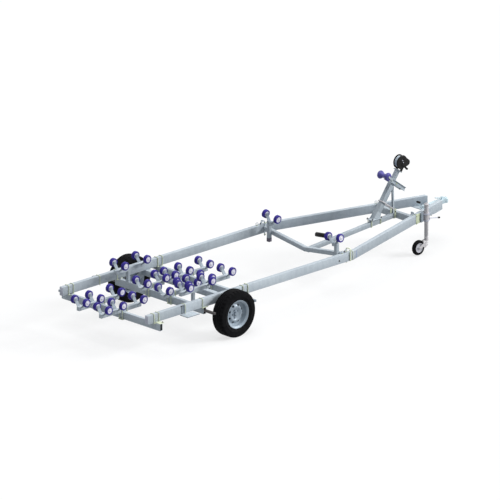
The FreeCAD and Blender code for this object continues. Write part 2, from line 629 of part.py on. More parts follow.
def winch_post():
    """Leaning telescopic post on the keel beam, with its base, gussets, loop and front stay."""
    rear, front = "(-postDepth / 2)", "(postDepth / 2)"
    lower = [on_post_at_base(rear), on_post_at_base(front), on_post("postJoint", front),
             on_post("postJoint", rear)]
    sub_part(prism("winch_post_lower", "XZ_Plane", lower, "postWidth"), "winch_post_lower")
    upper = post_band("upper_tube", "postJoint", "postHead", "-headDepth / 2", "headDepth / 2", "headWidth")
    plate = post_band("head_plate", "postHead", "postHead + plateThick", "-headDepth / 2 - headRearLip",
                      "headDepth / 2 + headFrontLip", "headPlateWidth")
    gusset = prism("head_gusset", "XZ_Plane",
                   [on_post("postHead - 2 * headFrontLip", "headDepth / 2"),
                    on_post("postHead", "headDepth / 2 + headFrontLip"),
                    on_post("postHead", "headDepth / 2")], "gussetThick")
    sub_part(fuse("winch_post_upper", upper, plate, gusset), "winch_post_upper")
    sub_part(fuse("winch_post_braces", *foot_clamp(), *front_stay(), *brace_loop()), "winch_post_braces")


def post_band(name, start, stop, rear, front, width):
    """A straight piece square to the winch post, from start to stop along it and from rear to front."""
    corners = [on_post(start, rear), on_post(start, front), on_post(stop, front), on_post(stop, rear)]
    return prism(name, "XZ_Plane", corners, width)


def on_post_at_base(across):
    """Where a line along the winch post, offset from its middle, meets the base plate."""
    shift = f"(({across}) * {POST_LENGTH} + plateThick * postRun) / postRise"
    return f"postFootX + {shift}", BASE_TOP


def foot_clamp():
    """Base plate on the keel beam, side gussets up the post and a strap round the keel at each end."""
    rear, front = "postFootX - footReach", "postFootX + footReach"
    base = [(rear, f"{keel_top(rear)}"), (front, f"{keel_top(front)}"), (front, BASE_TOP), (rear, BASE_TOP)]
    pieces = [prism("foot_base", "XZ_Plane", base, "footWidth")]
    for side, sign in SIDES:
        gusset = [(f"{rear} + 30", BASE_TOP), (front, BASE_TOP), on_post("gussetTop", "postDepth / 2"),
                  on_post("gussetTop", "-postDepth / 2")]
        pieces.append(prism(f"foot_gusset_{side}", "XZ_Plane", gusset, "gussetThick",
                            centre=("0", f"{sign} * (postWidth + gussetThick) / 2", "0")))
    for end, x in (("rear", f"{rear} + footWidth / 8"), ("front", f"{front} - footWidth / 8")):
        pieces.append(keel_strap(f"foot_strap_{end}", x, 12, "keelSize + 1", "keelSize"))
    return pieces


def front_stay():
    """Square stay from the keel beam's front end up to the post, in a strap round the keel."""
    rear, front = "braceX - stayWidth / 2", "braceX + stayWidth / 2"
    top_rear, top_front = f"{rear} - stayLean", f"{front} - stayLean"
    stay = prism("front_stay", "XZ_Plane",
                 [(rear, keel_top(rear)), (front, keel_top(front)), (top_front, post_face(top_front)),
                  (top_rear, post_face(top_rear))], "stayWidth")
    height = f"braceZ + braceBar / 2 - ({keel_top('braceX')}) + keelSize"
    strap = keel_strap("brace_strap", "braceX", 30, "postWidth", height)
    return [stay, strap]


def brace_loop():
    """A bar bent round the back of the winch post, its ends down to the strap at the keel's front end."""
    inner = "postWidth / 2"
    x1, z1 = on_post("braceTop", "-postDepth / 2 - 1")
    x2, z2 = "braceX", "braceZ"
    span = f"sqrt((({x2}) - ({x1})) ^ 2 + (({z2}) - ({z1})) ^ 2)"
    outer = f"({inner} + braceBar)"
    plan = [("-braceBar", f"-{outer}"), (span, f"-{outer}"), (span, f"-({inner})"), ("0", f"-({inner})"),
            ("0", inner), (span, inner), (span, outer), ("-braceBar", outer)]
    loop = prism("brace_loop", "XY_Plane", plan, "braceBar", centre=("0", "0", "0"))
    place(loop, x1, "0", z1)
    angle = f"atan((({z1}) - ({z2})) / (({x2}) - ({x1})))"
    return [turned_about(loop, Vector(0, 1, 0), angle)]


def channel(name, hand):
    """A channel of the bow roller's bracket, its back against the post's side and its flanges outward."""
    pieces = []
    for part, start, stop, width in (("web", BAND_LOW, BAND_HIGH, "bowWall"),
                                     ("low", BAND_LOW, f"{BAND_LOW} + bowWall", "bowLip"),
                                     ("high", f"{BAND_HIGH} - bowWall", BAND_HIGH, "bowLip")):
        piece = post_band(f"{name}_{part}", start, stop, "-bowRear", "bowFront", width)
        place(piece, "0", f"{hand} * (postWidth + {width}) / 2", "0")
        pieces.append(piece)
    return pieces


def bow_stop():
    """Bow roller in a fork, on two channels clamped either side of the winch post."""
    pieces = []
    pin_x, pin_z = "bowRollerX", "bowRollerZ"
    ear_y = "(bowRollerLength / 2 + 8)"
    seat = on_post(f"({BAND_LOW} + {BAND_HIGH}) / 2", "-bowRear")
    ends = ("bowBand / 2", "bowBand / 2")
    for side, sign in SIDES:
        pieces += channel(f"bow_channel_{side}", sign)
        pieces.append(disc_link(f"bow_ear_{side}", (pin_x, pin_z), seat, ends, "bowWall",
                                f"{sign} * {ear_y}"))
    for name, across, width in (("rear", "-bowRear", f"2 * {ear_y} + bowWall"),
                                ("front", "bowFront - bowWall", "postWidth + 2 * bowWall")):
        pieces.append(post_band(f"bow_web_{name}", BAND_LOW, BAND_HIGH, across, f"{across} + bowWall", width))
    pieces.append(rod("bow_pin", "shaftRadius", f"2 * {ear_y} + bowWall", (pin_x, "0", pin_z), "y"))
    sub_part(fuse("bow_roller_bracket", *pieces), "bow_roller_bracket")
    half, waist = "bowRollerLength / 2", "bowRollerRadius - 28"
    points = [("shaftRadius + runningFit", f"-{half}"), ("bowRollerRadius - 12", f"-{half}"),
              ("bowRollerRadius", f"-{half} + 14"), ("bowRollerRadius - 3", f"-{half} + 34"), (waist, "-16"),
              (waist, "16"), ("bowRollerRadius - 3", f"{half} - 34"), ("bowRollerRadius", f"{half} - 14"),
              ("bowRollerRadius - 12", half), ("shaftRadius + runningFit", half)]
    sub_part(turned("bow_roller", points, (pin_x, "0", pin_z)), "bow_roller")


def winch():
    """Strap winch on the head of the post: side frames, drum and gear cover with its folded crank."""
    base = "postHead + plateThick"
    drum_at = ("winchX", "winchZ")
    shaft = "shaftRadius + runningFit"
    frame = []
    rear, front, top = "-50", "62", f"{base} + 110"
    for side, sign in SIDES:
        web = [on_post(base, rear), on_post(base, front), on_post(f"{base} + 60", "44"), on_post(top, "2"),
               on_post(top, rear)]
        y = f"{sign} * winchSideY"
        frame.append(prism(f"winch_side_{side}", "XZ_Plane", web, "winchSideThick", centre=("0", y, "0")))
        frame.append(rod(f"winch_boss_{side}", "32", "winchSideThick", (drum_at[0], y, drum_at[1]), "y"))
    frame.append(post_band("winch_base", base, f"{base} + bowWall", rear, front, "2 * winchSideY"))
    hole = rod("winch_shaft_hole", shaft, "4 * winchSideY", (drum_at[0], "0", drum_at[1]), "y")
    sub_part(cut("winch_frame", fuse("winch_sides", *frame), hole), "winch_frame")
    core, wall, end = "drumRadius * 0.78", "drumHalf - 4", "winchSideY + winchSideThick / 2"
    drum = [("0", f"-({end})"), ("shaftRadius", f"-({end})"), ("shaftRadius", "-drumHalf"),
            ("drumRadius", "-drumHalf"), ("drumRadius", f"-({wall})"), (core, f"-({wall})"), (core, wall),
            ("drumRadius", wall), ("drumRadius", "drumHalf"), ("shaftRadius", "drumHalf"),
            ("shaftRadius", end), ("0", end)]
    sub_part(turned("winch_drum", drum, (drum_at[0], "0", drum_at[1])), "winch_drum")
    cover_y = f"-({end} + coverThick / 2)"
    cover = disc_link("gear_cover", ("gearX", "gearZ"), ("pinionX", "pinionZ"),
                      ("gearRadius", "pinionRadius"), "coverThick", cover_y)
    crank_y = f"-({end} + coverThick + plateThick / 2)"
    crank = disc_link("winch_crank", ("gearX - 10", "gearZ - 30"), ("gearX + 74", "gearZ - 104"),
                      ("13", "9"), "plateThick", crank_y)
    sub_part(fuse("winch_cover", cover, crank), "winch_cover")


def coupling():
    """Nose plate under the rails' ends, coupling shaft, ball housing and its handle."""
    rear, front = "drawbarEndX - nosePlateLap", "drawbarEndX"
    edge = "railWidth / 2"
    plan = [(rear, f"-({drawbar_y(rear, edge)})"), (front, f"-({drawbar_y(front, edge)})"),
            (front, drawbar_y(front, edge)), (rear, drawbar_y(rear, edge))]
    plate = prism("nose_plate", "XY_Plane", plan, "plateThick",
                  centre=("0", "0", "railBottom - plateThick / 2"))
    sub_part(plate, "nose_plate")
    tail = "drawbarEndX - couplingLap"
    shaft = prism("coupling_shaft", "XZ_Plane",
                  [(tail, "couplingZ"), ("ballX", "couplingZ"), ("ballX", "couplingZ + 66"),
                   ("drawbarEndX + 40", "couplingZ + 58"), (tail, "couplingZ + 46")], "couplingWidth")
    dome = turned("ball_housing",
                  [("0", "0"), ("headRadius", "0"), ("headRadius", "42"), ("headRadius - 4", "58"),
                   ("headRadius - 14", "70"), ("0", "76")], ("ballX", "0", "couplingZ"), "XZ_Plane")
    handle = disc_link("coupling_handle", ("ballX - 30", "couplingZ + 64"),
                       ("ballX - 190", "couplingZ + 104"), ("10", "7"), "16", "0")
    latch = block("coupling_latch", ("34", "30", "34"), ("ballX - 62", "0", "couplingZ + 76"))
    socket_z = "couplingZ + socketDepth / 2"
    socket = rod("ball_socket", "ballRadius", "socketDepth", ("ballX", "0", socket_z), "z")
    sub_part(cut("coupling_head", fuse("coupling_body", shaft, dome, handle, latch), socket), "coupling_head")


def jockey():
    """Clamp on the right rail, outer tube with crank, sliding leg, swivelling fork and wheel."""
    x, y = "jockeyX", "jockeyY"
    jockey_clamp(x, y)
    height, middle = "jockeyTubeTop - jockeyTubeBottom", "(jockeyTubeTop + jockeyTubeBottom) / 2"
    wall = rod("jockey_wall", "jockeyTubeRadius", height, (x, y, middle), "z")
    cavity = rod("jockey_cavity", "jockeyLegRadius + runningFit", height, (x, y, f"{middle} - 6"), "z")
    crank_z = "jockeyTubeTop + 30"
    arm_x, knob_x = f"{x} - leverLength / 2 + 9", f"{x} - leverLength + 20"
    crank = [rod("jockey_crank_shaft", "9", "34", (x, y, "jockeyTubeTop + 17"), "z"),
             block("jockey_crank_arm", ("leverLength", "18", "8"), (arm_x, y, crank_z)),
             rod("jockey_crank_knob", "17", "62", (knob_x, y, f"{crank_z} + 35"), "z")]
    sub_part(fuse("jockey_outer_tube", cut("jockey_tube_wall", wall, cavity), *crank), "jockey_outer_tube")
    leg_foot = "(jockeyCrown + 0.3)"
    leg_bar = rod("jockey_leg_bar", "jockeyLegRadius", f"jockeyLegTop - {leg_foot}",
                  (x, y, f"(jockeyLegTop + {leg_foot}) / 2"), "z")
    collar = rod("jockey_leg_collar", "jockeyLegRadius + 4", "12", (x, y, "jockeyCrown + 60"), "z")
    leg_bore = rod("jockey_leg_bore", "pinRadius + runningFit", "60", (x, y, "jockeyCrown + 30"), "z")
    sub_part(cut("jockey_leg", fuse("jockey_leg_body", leg_bar, collar), leg_bore), "jockey_leg")
    axle_x, axle_z = f"{x} - jockeyTrail", "jockeyWheelRadius"
    fork_width = "jockeyWheelWidth + 26"
    pieces = [block("jockey_crown", (90, fork_width, 16), (f"{x} - 14", y, "jockeyCrown - 8")),
              rod("jockey_stem", "pinRadius", "60", (x, y, "jockeyCrown + 20"), "z"),
              rod("jockey_axle", "shaftRadius", fork_width, (axle_x, y, axle_z), "y")]
    for side, sign in SIDES:
        blade_y = f"{y} + {sign} * (({fork_width}) / 2 - 2.5)"
        pieces.append(disc_link(f"jockey_blade_{side}", (x, "jockeyCrown - 27"), (axle_x, axle_z),
                                ("27", "20"), "5", blade_y))
    sub_part(fuse("jockey_fork", *pieces), "jockey_fork")
    half = "jockeyWheelWidth / 2"
    wheel = [("shaftRadius + runningFit", f"-{half}"), ("30", f"-{half}"), ("34", "-18"), ("60", "-18"),
             ("64", f"-{half} + 4"), ("jockeyWheelRadius - 10", f"-{half}"),
             ("jockeyWheelRadius", f"-{half} + 14"), ("jockeyWheelRadius", f"{half} - 14"),
             ("jockeyWheelRadius - 10", half), ("64", f"{half} - 4"), ("60", "18"), ("34", "18"),
             ("30", half), ("shaftRadius + runningFit", half)]
    sub_part(turned("jockey_wheel", wheel, (axle_x, y, axle_z)), "jockey_wheel")


def jockey_clamp(x, y):
    """Backplate on the rail and a split collar round the tube, closed by a lever."""
    middle = "railBottom + railHeight / 2"

    def face(station):
        return f"-({drawbar_y(station, 'railWidth / 2')})"
    rear, front = f"{x} - 96", f"{x} + 44"
    plan = [(rear, face(rear)), (front, face(front)), (front, f"{face(front)} - plateThick"),
            (rear, f"{face(rear)} - plateThick")]
    plate = prism("jockey_backplate", "XY_Plane", plan, "railHeight", centre=("0", "0", middle))
    collar = rod("jockey_collar", "collarRadius", "collarHeight", (x, y, middle), "z")
    ear = block("jockey_clamp_ear", ("32", "22", "collarHeight - 24"),
                (f"{x} + collarRadius + 10", y, middle))
    lever_y, lever_x = f"{y} - 6", f"{x} + collarRadius"
    lever = rod("jockey_lever", "6", "leverLength", (f"{lever_x} + leverLength / 2", lever_y, middle), "x")
    knob = rod("jockey_lever_knob", "13", "30", (f"{lever_x} + leverLength", lever_y, middle), "x")
    hole = rod("jockey_grip_hole", "jockeyTubeRadius + 0.1", "2 * collarHeight", (x, y, middle), "z")
    body = fuse("jockey_clamp_body", plate, collar, ear, lever, knob)
    sub_part(cut("jockey_clamp", body, hole), "jockey_clamp")


side_rails()
crossmembers()
saddle_clamps()
keel_beam()
torsion_axle()
road_wheels()
cradles()
outriggers()
bow_guides()
winch_post()
bow_stop()
winch()
coupling()
jockey()
doc.recompute()

for thing in doc.Objects:
    if {"Invalid", "Error"} & set(thing.State):
        raise RuntimeError(f"{thing.Name} failed: {thing.State}")
os.makedirs("parts", exist_ok=True)
for thing in SUB_PARTS:
    if thing.Shape.isNull() or not thing.Shape.isValid():
        raise RuntimeError(f"{thing.Label} has no valid shape")
    thing.Shape.exportStep(f"parts/{thing.Label}.step")
print(len(SUB_PARTS), "sub-parts,", sum(len(thing.Shape.Solids) for thing in SUB_PARTS), "solids")
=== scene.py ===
import json
import math
import bmesh
import bpy
from mathutils import Matrix, Vector

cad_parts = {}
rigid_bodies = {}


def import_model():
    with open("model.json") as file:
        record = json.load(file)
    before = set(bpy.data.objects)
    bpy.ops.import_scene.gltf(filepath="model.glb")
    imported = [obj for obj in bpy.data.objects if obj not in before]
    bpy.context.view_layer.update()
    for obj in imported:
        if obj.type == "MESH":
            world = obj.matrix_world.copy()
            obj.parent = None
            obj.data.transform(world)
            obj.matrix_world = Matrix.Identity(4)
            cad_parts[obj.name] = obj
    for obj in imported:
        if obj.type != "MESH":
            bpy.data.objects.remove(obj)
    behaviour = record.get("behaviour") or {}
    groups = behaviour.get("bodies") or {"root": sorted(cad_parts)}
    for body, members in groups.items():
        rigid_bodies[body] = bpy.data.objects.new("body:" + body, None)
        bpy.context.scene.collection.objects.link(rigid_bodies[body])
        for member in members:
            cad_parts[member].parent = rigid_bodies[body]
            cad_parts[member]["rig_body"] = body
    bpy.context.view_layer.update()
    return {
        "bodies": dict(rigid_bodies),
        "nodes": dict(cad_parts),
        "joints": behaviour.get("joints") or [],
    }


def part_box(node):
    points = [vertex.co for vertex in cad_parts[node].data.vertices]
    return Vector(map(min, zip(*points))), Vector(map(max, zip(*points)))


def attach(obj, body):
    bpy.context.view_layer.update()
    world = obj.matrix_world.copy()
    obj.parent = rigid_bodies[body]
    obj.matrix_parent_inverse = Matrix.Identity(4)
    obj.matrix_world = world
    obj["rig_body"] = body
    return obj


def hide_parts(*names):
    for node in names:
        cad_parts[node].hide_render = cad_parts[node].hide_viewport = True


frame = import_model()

joints = {joint["child"]: joint for joint in frame["joints"]}
sides = (("left", 1), ("right", -1))
mirrors = {side: Matrix.Diagonal((1, sign, 1, 1)) for side, sign in sides}
print("frame loaded:", len(frame["nodes"]), "nodes")


def pivot(body):
    # the point that the body turns about
    return Vector(joints[body]["pos_m"])


def middleAndHalf(node):
    low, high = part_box(node)
    return (low + high) / 2, (high - low) / 2


# materials

def colour(red, green, blue):
    # screen values 0-255 to the linear values that a shader takes
    parts = [level / 255 for level in (red, green, blue)]
    return tuple(part / 12.92 if part <= 0.04045 else ((part + 0.055) / 1.055) ** 2.4 for part in parts)


def addNode(tree, kind, values=()):
    node = tree.nodes.new("ShaderNode" + kind)
    for name, value in dict(values).items():
        node.inputs[name].default_value = value
    return node


def startMaterial(name, base, roughness, metallic=0.0, specular=0.3):
    material = bpy.data.materials.new(name)
    material.use_nodes = True
    shader = material.node_tree.nodes["Principled BSDF"]
    values = {"Base Color": (*base, 1), "Roughness": roughness, "Metallic": metallic,
              "Specular IOR Level": specular}
    for socket, value in values.items():
        shader.inputs[socket].default_value = value
    return material, material.node_tree, shader


def addTexture(tree, kind, values, stretch=(1, 1, 1)):
    # lies on the object's own coordinates
    place, mapping = addNode(tree, "TexCoord"), addNode(tree, "Mapping", {"Scale": stretch})
    texture = addNode(tree, "Tex" + kind, values)
    tree.links.new(place.outputs["Object"], mapping.inputs["Vector"])
    tree.links.new(mapping.outputs["Vector"], texture.inputs["Vector"])
    return texture


def noise(tree, scale, detail=3.0, stretch=(1, 1, 1)):
    return addTexture(tree, "Noise", {"Scale": scale, "Detail": detail}, stretch).outputs["Fac"]


def blendColours(tree, factor, low, high, start=0.3, end=0.7):
    ramp = addNode(tree, "ValToRGB")
    for stop, position, tone in zip(ramp.color_ramp.elements, (start, end), (low, high)):
        stop.position = position
        stop.color = (*tone, 1)
    tree.links.new(factor, ramp.inputs["Fac"])
    return ramp.outputs["Color"]


def multiply(tree, first, second, amount):
    mix = addNode(tree, "Mix", {"Factor": amount})
    mix.data_type = "RGBA"
    mix.blend_type = "MULTIPLY"
    tree.links.new(first, mix.inputs["A"])
    tree.links.new(second, mix.inputs["B"])
    return mix.outputs["Result"]


def spreadValue(tree, value, low, high):
    span = addNode(tree, "MapRange", {"From Min": 0.3, "From Max": 0.7, "To Min": low, "To Max": high})
    tree.links.new(value, span.inputs["Value"])
    return span.outputs["Result"]


def relief(tree, shader, height, strength, distance):
    bump = addNode(tree, "Bump", {"Strength": strength, "Distance": distance})
    tree.links.new(height, bump.inputs["Height"])
    tree.links.new(bump.outputs["Normal"], shader.inputs["Normal"])


def zincCoated(name, light, dark, spangle=75, metallic=0.05, roughness=(0.55, 0.75)):
    # zinc: broad clouds of tone, crystals a centimetre or so across, runs down the sides, fine grain
    material, tree, shader = startMaterial(name, colour(*light), sum(roughness) / 2, metallic)
    clouds = blendColours(tree, noise(tree, 2.2, 5), colour(*dark), colour(*light), 0.3, 0.6)
    cells = addTexture(tree, "Voronoi", {"Scale": spangle}).outputs["Color"]
    crystals = blendColours(tree, cells, (0.8, 0.82, 0.84), (1, 1, 1), 0.1, 0.9)
    streaks = noise(tree, 26, 3, (1, 1, 0.12))
    runs = blendColours(tree, streaks, (0.84, 0.86, 0.88), (1, 1, 1), 0.36, 0.56)
    tone = multiply(tree, multiply(tree, clouds, crystals, 0.5), runs, 0.45)
    tree.links.new(tone, shader.inputs["Base Color"])
    tree.links.new(spreadValue(tree, noise(tree, 34, 4), *roughness), shader.inputs["Roughness"])
    relief(tree, shader, noise(tree, 260, 3), 0.12, 0.0006)
    return material


def moulded(name, light, dark, roughness, grain=420, coat=0.0, specular=0.2):
    # rubber or plastic: slight tone change, bloom, fine grain
    light, dark = colour(*light), colour(*dark)
    material, tree, shader = startMaterial(name, light, roughness, 0.0, specular)
    tree.links.new(blendColours(tree, noise(tree, 18, 4), dark, light), shader.inputs["Base Color"])
    bloom = spreadValue(tree, noise(tree, 45, 3), roughness - 0.07, roughness + 0.1)
    tree.links.new(bloom, shader.inputs["Roughness"])
    shader.inputs["Coat Weight"].default_value = coat
    shader.inputs["Coat Roughness"].default_value = 0.25
    relief(tree, shader, noise(tree, grain, 2), 0.2, 0.0004)
    return material


def webbing(name, light, dark, ribs=(35, 21)):
    # woven strap: ribs along and across the band
    light, dark = colour(*light), colour(*dark)
    material, tree, shader = startMaterial(name, light, 0.75)
    weave = addNode(tree, "Math")
    weave.operation = "MULTIPLY"
    for i, (direction, scale) in enumerate(zip("YZ", ribs)):
        wave = addTexture(tree, "Wave", {"Scale": scale})
        wave.bands_direction = direction
        tree.links.new(wave.outputs["Fac"], weave.inputs[i])
    tone = blendColours(tree, weave.outputs[0], dark, light, 0.1, 0.8)
    tree.links.new(tone, shader.inputs["Base Color"])
    relief(tree, shader, weave.outputs[0], 0.6, 0.001)
    return material


# material name, pale and dark tone, then crystals per metre, metallic and range of roughness
zincs = {
    "galvanised": ("galvanisedSteel", (193, 202, 208), (182, 191, 198)),
    # darker copy of the galvanised coat: painted shade on the drawbar, keel and lower post
    "drawbarZinc": ("drawbarZinc", (180, 189, 195), (170, 179, 186)),
    # darker still: painted shade on the inner faces of the converging rails
    "innerZinc": ("innerZinc", (168, 178, 186), (156, 166, 175)),
    # darker copy of the galvanised coat: painted shade on the roller brackets, guide post tops and a
    # jockey clamp block
    "bracketZinc": ("bracketZinc", (158, 168, 176), (132, 142, 152), 90),
    # dull steel, also used as painted shade on the front crossmember's ends and on the step's hangers
    # and plate
    "dullSteel": ("dullSteel", (140, 150, 160), (118, 128, 138), 110),
    "weldZinc": ("weldZinc", (152, 166, 190), (132, 147, 172), 140, 0.05, (0.5, 0.7)),
    "zinc_plate": ("yellowZinc", (226, 232, 204), (206, 214, 182), 160, 0.05, (0.4, 0.6)),
    "rim_steel": ("silverRim", (172, 184, 194), (140, 152, 163), 220, 0.15, (0.36, 0.5)),
    "jockey_steel": ("greyZinc", (220, 216, 216), (200, 196, 198), 140, 0.1, (0.4, 0.56)),
    "coupling_steel": ("paleZinc", (214, 232, 238), (192, 214, 222), 120, 0.1, (0.4, 0.6)),
    # dark bolts and nuts; also painted shade on crossmember ends, between the step's ribs and behind
    # the rim's holes
    "darkBolt": ("darkBolts", (88, 84, 84), (60, 57, 58), 300, 0.3, (0.4, 0.55)),
}
# material name, pale and dark tone, roughness, then grain per metre, coat and specular
mouldings = {
    "blue_rubber": ("blueRubber", (58, 46, 150), (38, 28, 118), 0.5, 420, 0.05),
    "hub": ("paleHub", (234, 232, 242), (216, 214, 228), 0.5),
    "bow_rubber": ("violetRubber", (96, 92, 170), (66, 62, 136), 0.34, 420, 0.3),
    "tyre": ("tyreRubber", (22, 22, 24), (12, 12, 14), 0.75, 300, 0.0, 0.06),
    "jockey_tyre": ("solidRubber", (20, 20, 22), (12, 12, 14), 0.7, 300, 0.0, 0.06),
    "jockey_rim": ("paleRim", (214, 214, 220), (192, 192, 198), 0.5),
    "sleeve": ("blackSleeve", (34, 34, 36), (20, 20, 22), 0.5, 420, 0.0, 0.12),
    "cap": ("paleCap", (208, 211, 222), (194, 197, 210), 0.6, 500),
    "collar": ("collarGrey", (112, 108, 122), (92, 88, 102), 0.6),
    "winch_black": ("blackCoat", (34, 33, 33), (20, 20, 20), 0.5, 600, 0.05, 0.12),
}
finish = {name: zincCoated(*values) for name, values in zincs.items()}
finish.update({name: moulded(*values) for name, values in mouldings.items()})
finish["winch_strap"] = webbing("strapWebbing", (222, 230, 238), (176, 190, 200))
print("materials:", len(finish))


# shaping

def addPiece(bm, name, body, slotName, finishes=(), node=None, sharpAngle=38, recalculate=True):
    # shade round forms smooth and keep the corners, then ride on the body and stand for a node
    if recalculate:
        bmesh.ops.recalc_face_normals(bm, faces=bm.faces)
    for face in bm.faces:
        face.smooth = True
    for edge in bm.edges:
        edge.smooth = edge.calc_face_angle(math.pi) < math.radians(sharpAngle)
    mesh = bpy.data.meshes.new(name)
    bm.to_mesh(mesh)
    bm.free()
    for finishName in finishes or [slotName]:
        mesh.materials.append(finish[finishName])
    piece = bpy.data.objects.new(name, mesh)
    bpy.context.scene.collection.objects.link(piece)
    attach(piece, body)
    if node:
        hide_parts(node)
    return piece


def paint(faces, material):
    for face in faces:
        face.material_index = material


def paintAround(corners, material):
    paint({face for corner in corners for face in corner.link_faces}, material)


def bevelEdges(bm, edges, width, segments=2, clamp=False):
    bmesh.ops.bevel(bm, geom=edges, offset=width, segments=segments, profile=0.5, affect="EDGES",
                    material=-1, clamp_overlap=clamp)


def spinProfile(bm, profile, centre, axis=(0, 1, 0), steps=48, material=0, closed=False):
    # profile points are (radius, along the axis); a closed one makes a ring
    axis = Vector(axis).normalized()
    centre = Vector(centre)
    out = axis.orthogonal().normalized()
    first = [bm.verts.new(centre + out * radius + axis * along) for radius, along in profile]
    edges = [bm.edges.new(pair) for pair in zip(first, first[1:])]
    if closed:
        edges.append(bm.edges.new((first[-1], first[0])))
    known = set(bm.faces)
    bmesh.ops.spin(bm, geom=first + edges, cent=centre, axis=axis, angle=math.tau, steps=steps,
                   use_merge=True)
    fresh = [face for face in bm.faces if face not in known]
    paint(fresh, material)
    corners = list({corner for face in fresh for corner in face.verts})
    bmesh.ops.remove_doubles(bm, verts=corners, dist=0.00002)


def towards(sign, profile):
    # the profile, or its mirror image for sign -1
    return [(radius, sign * along) for radius, along in profile]


def ringProfile(inner, outer, low, high):
    return [(inner, low), (outer, low), (outer, high), (inner, high)]


def mirrored(half, profile):
    # points are (radius, in from the end), the last one in the middle, and then their mirror image
    ahead = [(radius, half - inset) for radius, inset in profile]
    return ahead + towards(-1, reversed(ahead[:-1]))


def pointAlong(direction):
    turn = Vector((0, 0, 1)).rotation_difference(Vector(direction).normalized())
    return turn.to_matrix().to_4x4()


def pick(parts, kind):
    return [part for part in parts if isinstance(part, kind)]


def addRod(bm, start, end, radius, sides=16, material=0, tip=None):
    start, end = Vector(start), Vector(end)
    place = Matrix.Translation((start + end) / 2) @ pointAlong(end - start)
    made = bmesh.ops.create_cone(bm, cap_ends=True, segments=sides, radius1=radius,
                                 radius2=radius if tip is None else tip,
                                 depth=(end - start).length, matrix=place)
    paintAround(made["verts"], material)


def addBlock(bm, low, high, bevel=0.0, material=0, turn=Matrix()):
    # a box between two corners, then moved by the matrix turn
    low, high = Vector(low), Vector(high)
    place = turn @ Matrix.Translation((low + high) / 2) @ Matrix.Diagonal((*(high - low), 1))
    made = bmesh.ops.create_cube(bm, size=1, matrix=place)
    paintAround(made["verts"], material)
    if bevel:
        bevelEdges(bm, list({edge for corner in made["verts"] for edge in corner.link_edges}), bevel)


def addNut(bm, seat, direction, size, material=0, stub=0.5):
    # washer, hexagon and the end of the bolt
    seat, direction = Vector(seat), Vector(direction).normalized()
    washer, top, end = (seat + direction * size * share for share in (0.12, 0.95, 0.95 + stub))
    addRod(bm, seat, washer, size * 1.2, 16, material)
    addRod(bm, washer, top, size, 6, material)
    addRod(bm, top, end, size * 0.55, 12, material, size * 0.48)


def addBentRod(bm, points, radius, bend, sides=10, material=0):
    # round bar that follows straight runs joined by arcs
    points = [Vector(point) for point in points]
    heading = (points[1] - points[0]).normalized()
    known = set(bm.faces)
    place = Matrix.Translation(points[0]) @ pointAlong(heading)
    ring = bmesh.ops.create_circle(bm, segments=sides, radius=radius, matrix=place)["verts"]
    edges = list({edge for corner in ring for edge in corner.link_edges})
    firstEdges = list(edges)
    at = points[0].copy()
    for i, corner in enumerate(points[1:], start=1):
        turning = i < len(points) - 1
        turn = heading.angle(points[i + 1] - corner) if turning else 0.0
        setback = bend * math.tan(turn / 2)
        run = corner - heading * setback - at
        made = bmesh.ops.extrude_edge_only(bm, edges=edges)["geom"]
        ring = pick(made, bmesh.types.BMVert)
        edges = [edge for edge in pick(made, bmesh.types.BMEdge) if set(edge.verts) <= set(ring)]
        bmesh.ops.translate(bm, verts=ring, vec=run)
        at += run
        if turn > 0.001:
            following = (points[i + 1] - corner).normalized()
            axis = heading.cross(following).normalized()
            centre = at + axis.cross(heading) * bend
            steps = max(2, round(turn / math.radians(18)))
            last = bmesh.ops.spin(bm, geom=ring + edges, cent=centre, axis=axis, angle=turn,
                                  steps=steps)["geom_last"]
            edges = pick(last, bmesh.types.BMEdge)
            at = corner + following * setback
            heading = following
    bmesh.ops.holes_fill(bm, edges=firstEdges + edges)
    paint([face for face in bm.faces if face not in known], material)


def join(bm, part, material):
    # moves the finished shape into another mesh
    paint(part.faces, material)
    mesh = bpy.data.meshes.new("part")
    part.to_mesh(mesh)
    part.free()
    bm.from_mesh(mesh)
    bpy.data.meshes.remove(mesh)


def addStrap(bm, points, across, thick, bend, material=0):
    # flat strap folded along the points; across is its whole width as a vector
    part = bmesh.new()
    across = Vector(across)
    corners = [part.verts.new(Vector(point) - across / 2) for point in points]
    edges = [part.edges.new(pair) for pair in zip(corners, corners[1:])]
    made = bmesh.ops.extrude_edge_only(part, edges=edges)["geom"]
    bmesh.ops.translate(part, verts=pick(made, bmesh.types.BMVert), vec=across)
    bevelEdges(part, [edge for edge in part.edges if len(edge.link_faces) == 2], bend, 4)
    bmesh.ops.solidify(part, geom=part.faces, thickness=thick)
    join(bm, part, material)


def addPlate(bm, corners, thick, material=0):
    # flat plate: an outline pushed through its thickness, a vector
    corners = [bm.verts.new(Vector(corner)) for corner in corners]
    face = bmesh.ops.contextual_create(bm, geom=corners)["faces"][0]
    made = bmesh.ops.extrude_face_region(bm, geom=[face])["geom"]
    bmesh.ops.translate(bm, verts=pick(made, bmesh.types.BMVert), vec=Vector(thick))
    paintAround(face.verts, material)


def addLink(bm, first, second, radii, thick, material=0):
    # flat link with round ends, its thickness a vector
    part = bmesh.new()
    for centre, radius in zip((first, second), radii):
        addRod(part, Vector(centre) - Vector(thick) / 2, Vector(centre) + Vector(thick) / 2, radius, 28)
    bmesh.ops.delete(part, geom=part.edges[:] + part.faces[:], context="EDGES_FACES")
    hull = bmesh.ops.convex_hull(part, input=part.verts)
    inside = list(set(hull["geom_interior"] + hull["geom_unused"]))
    bmesh.ops.delete(part, geom=inside, context="VERTS")
    join(bm, part, material)


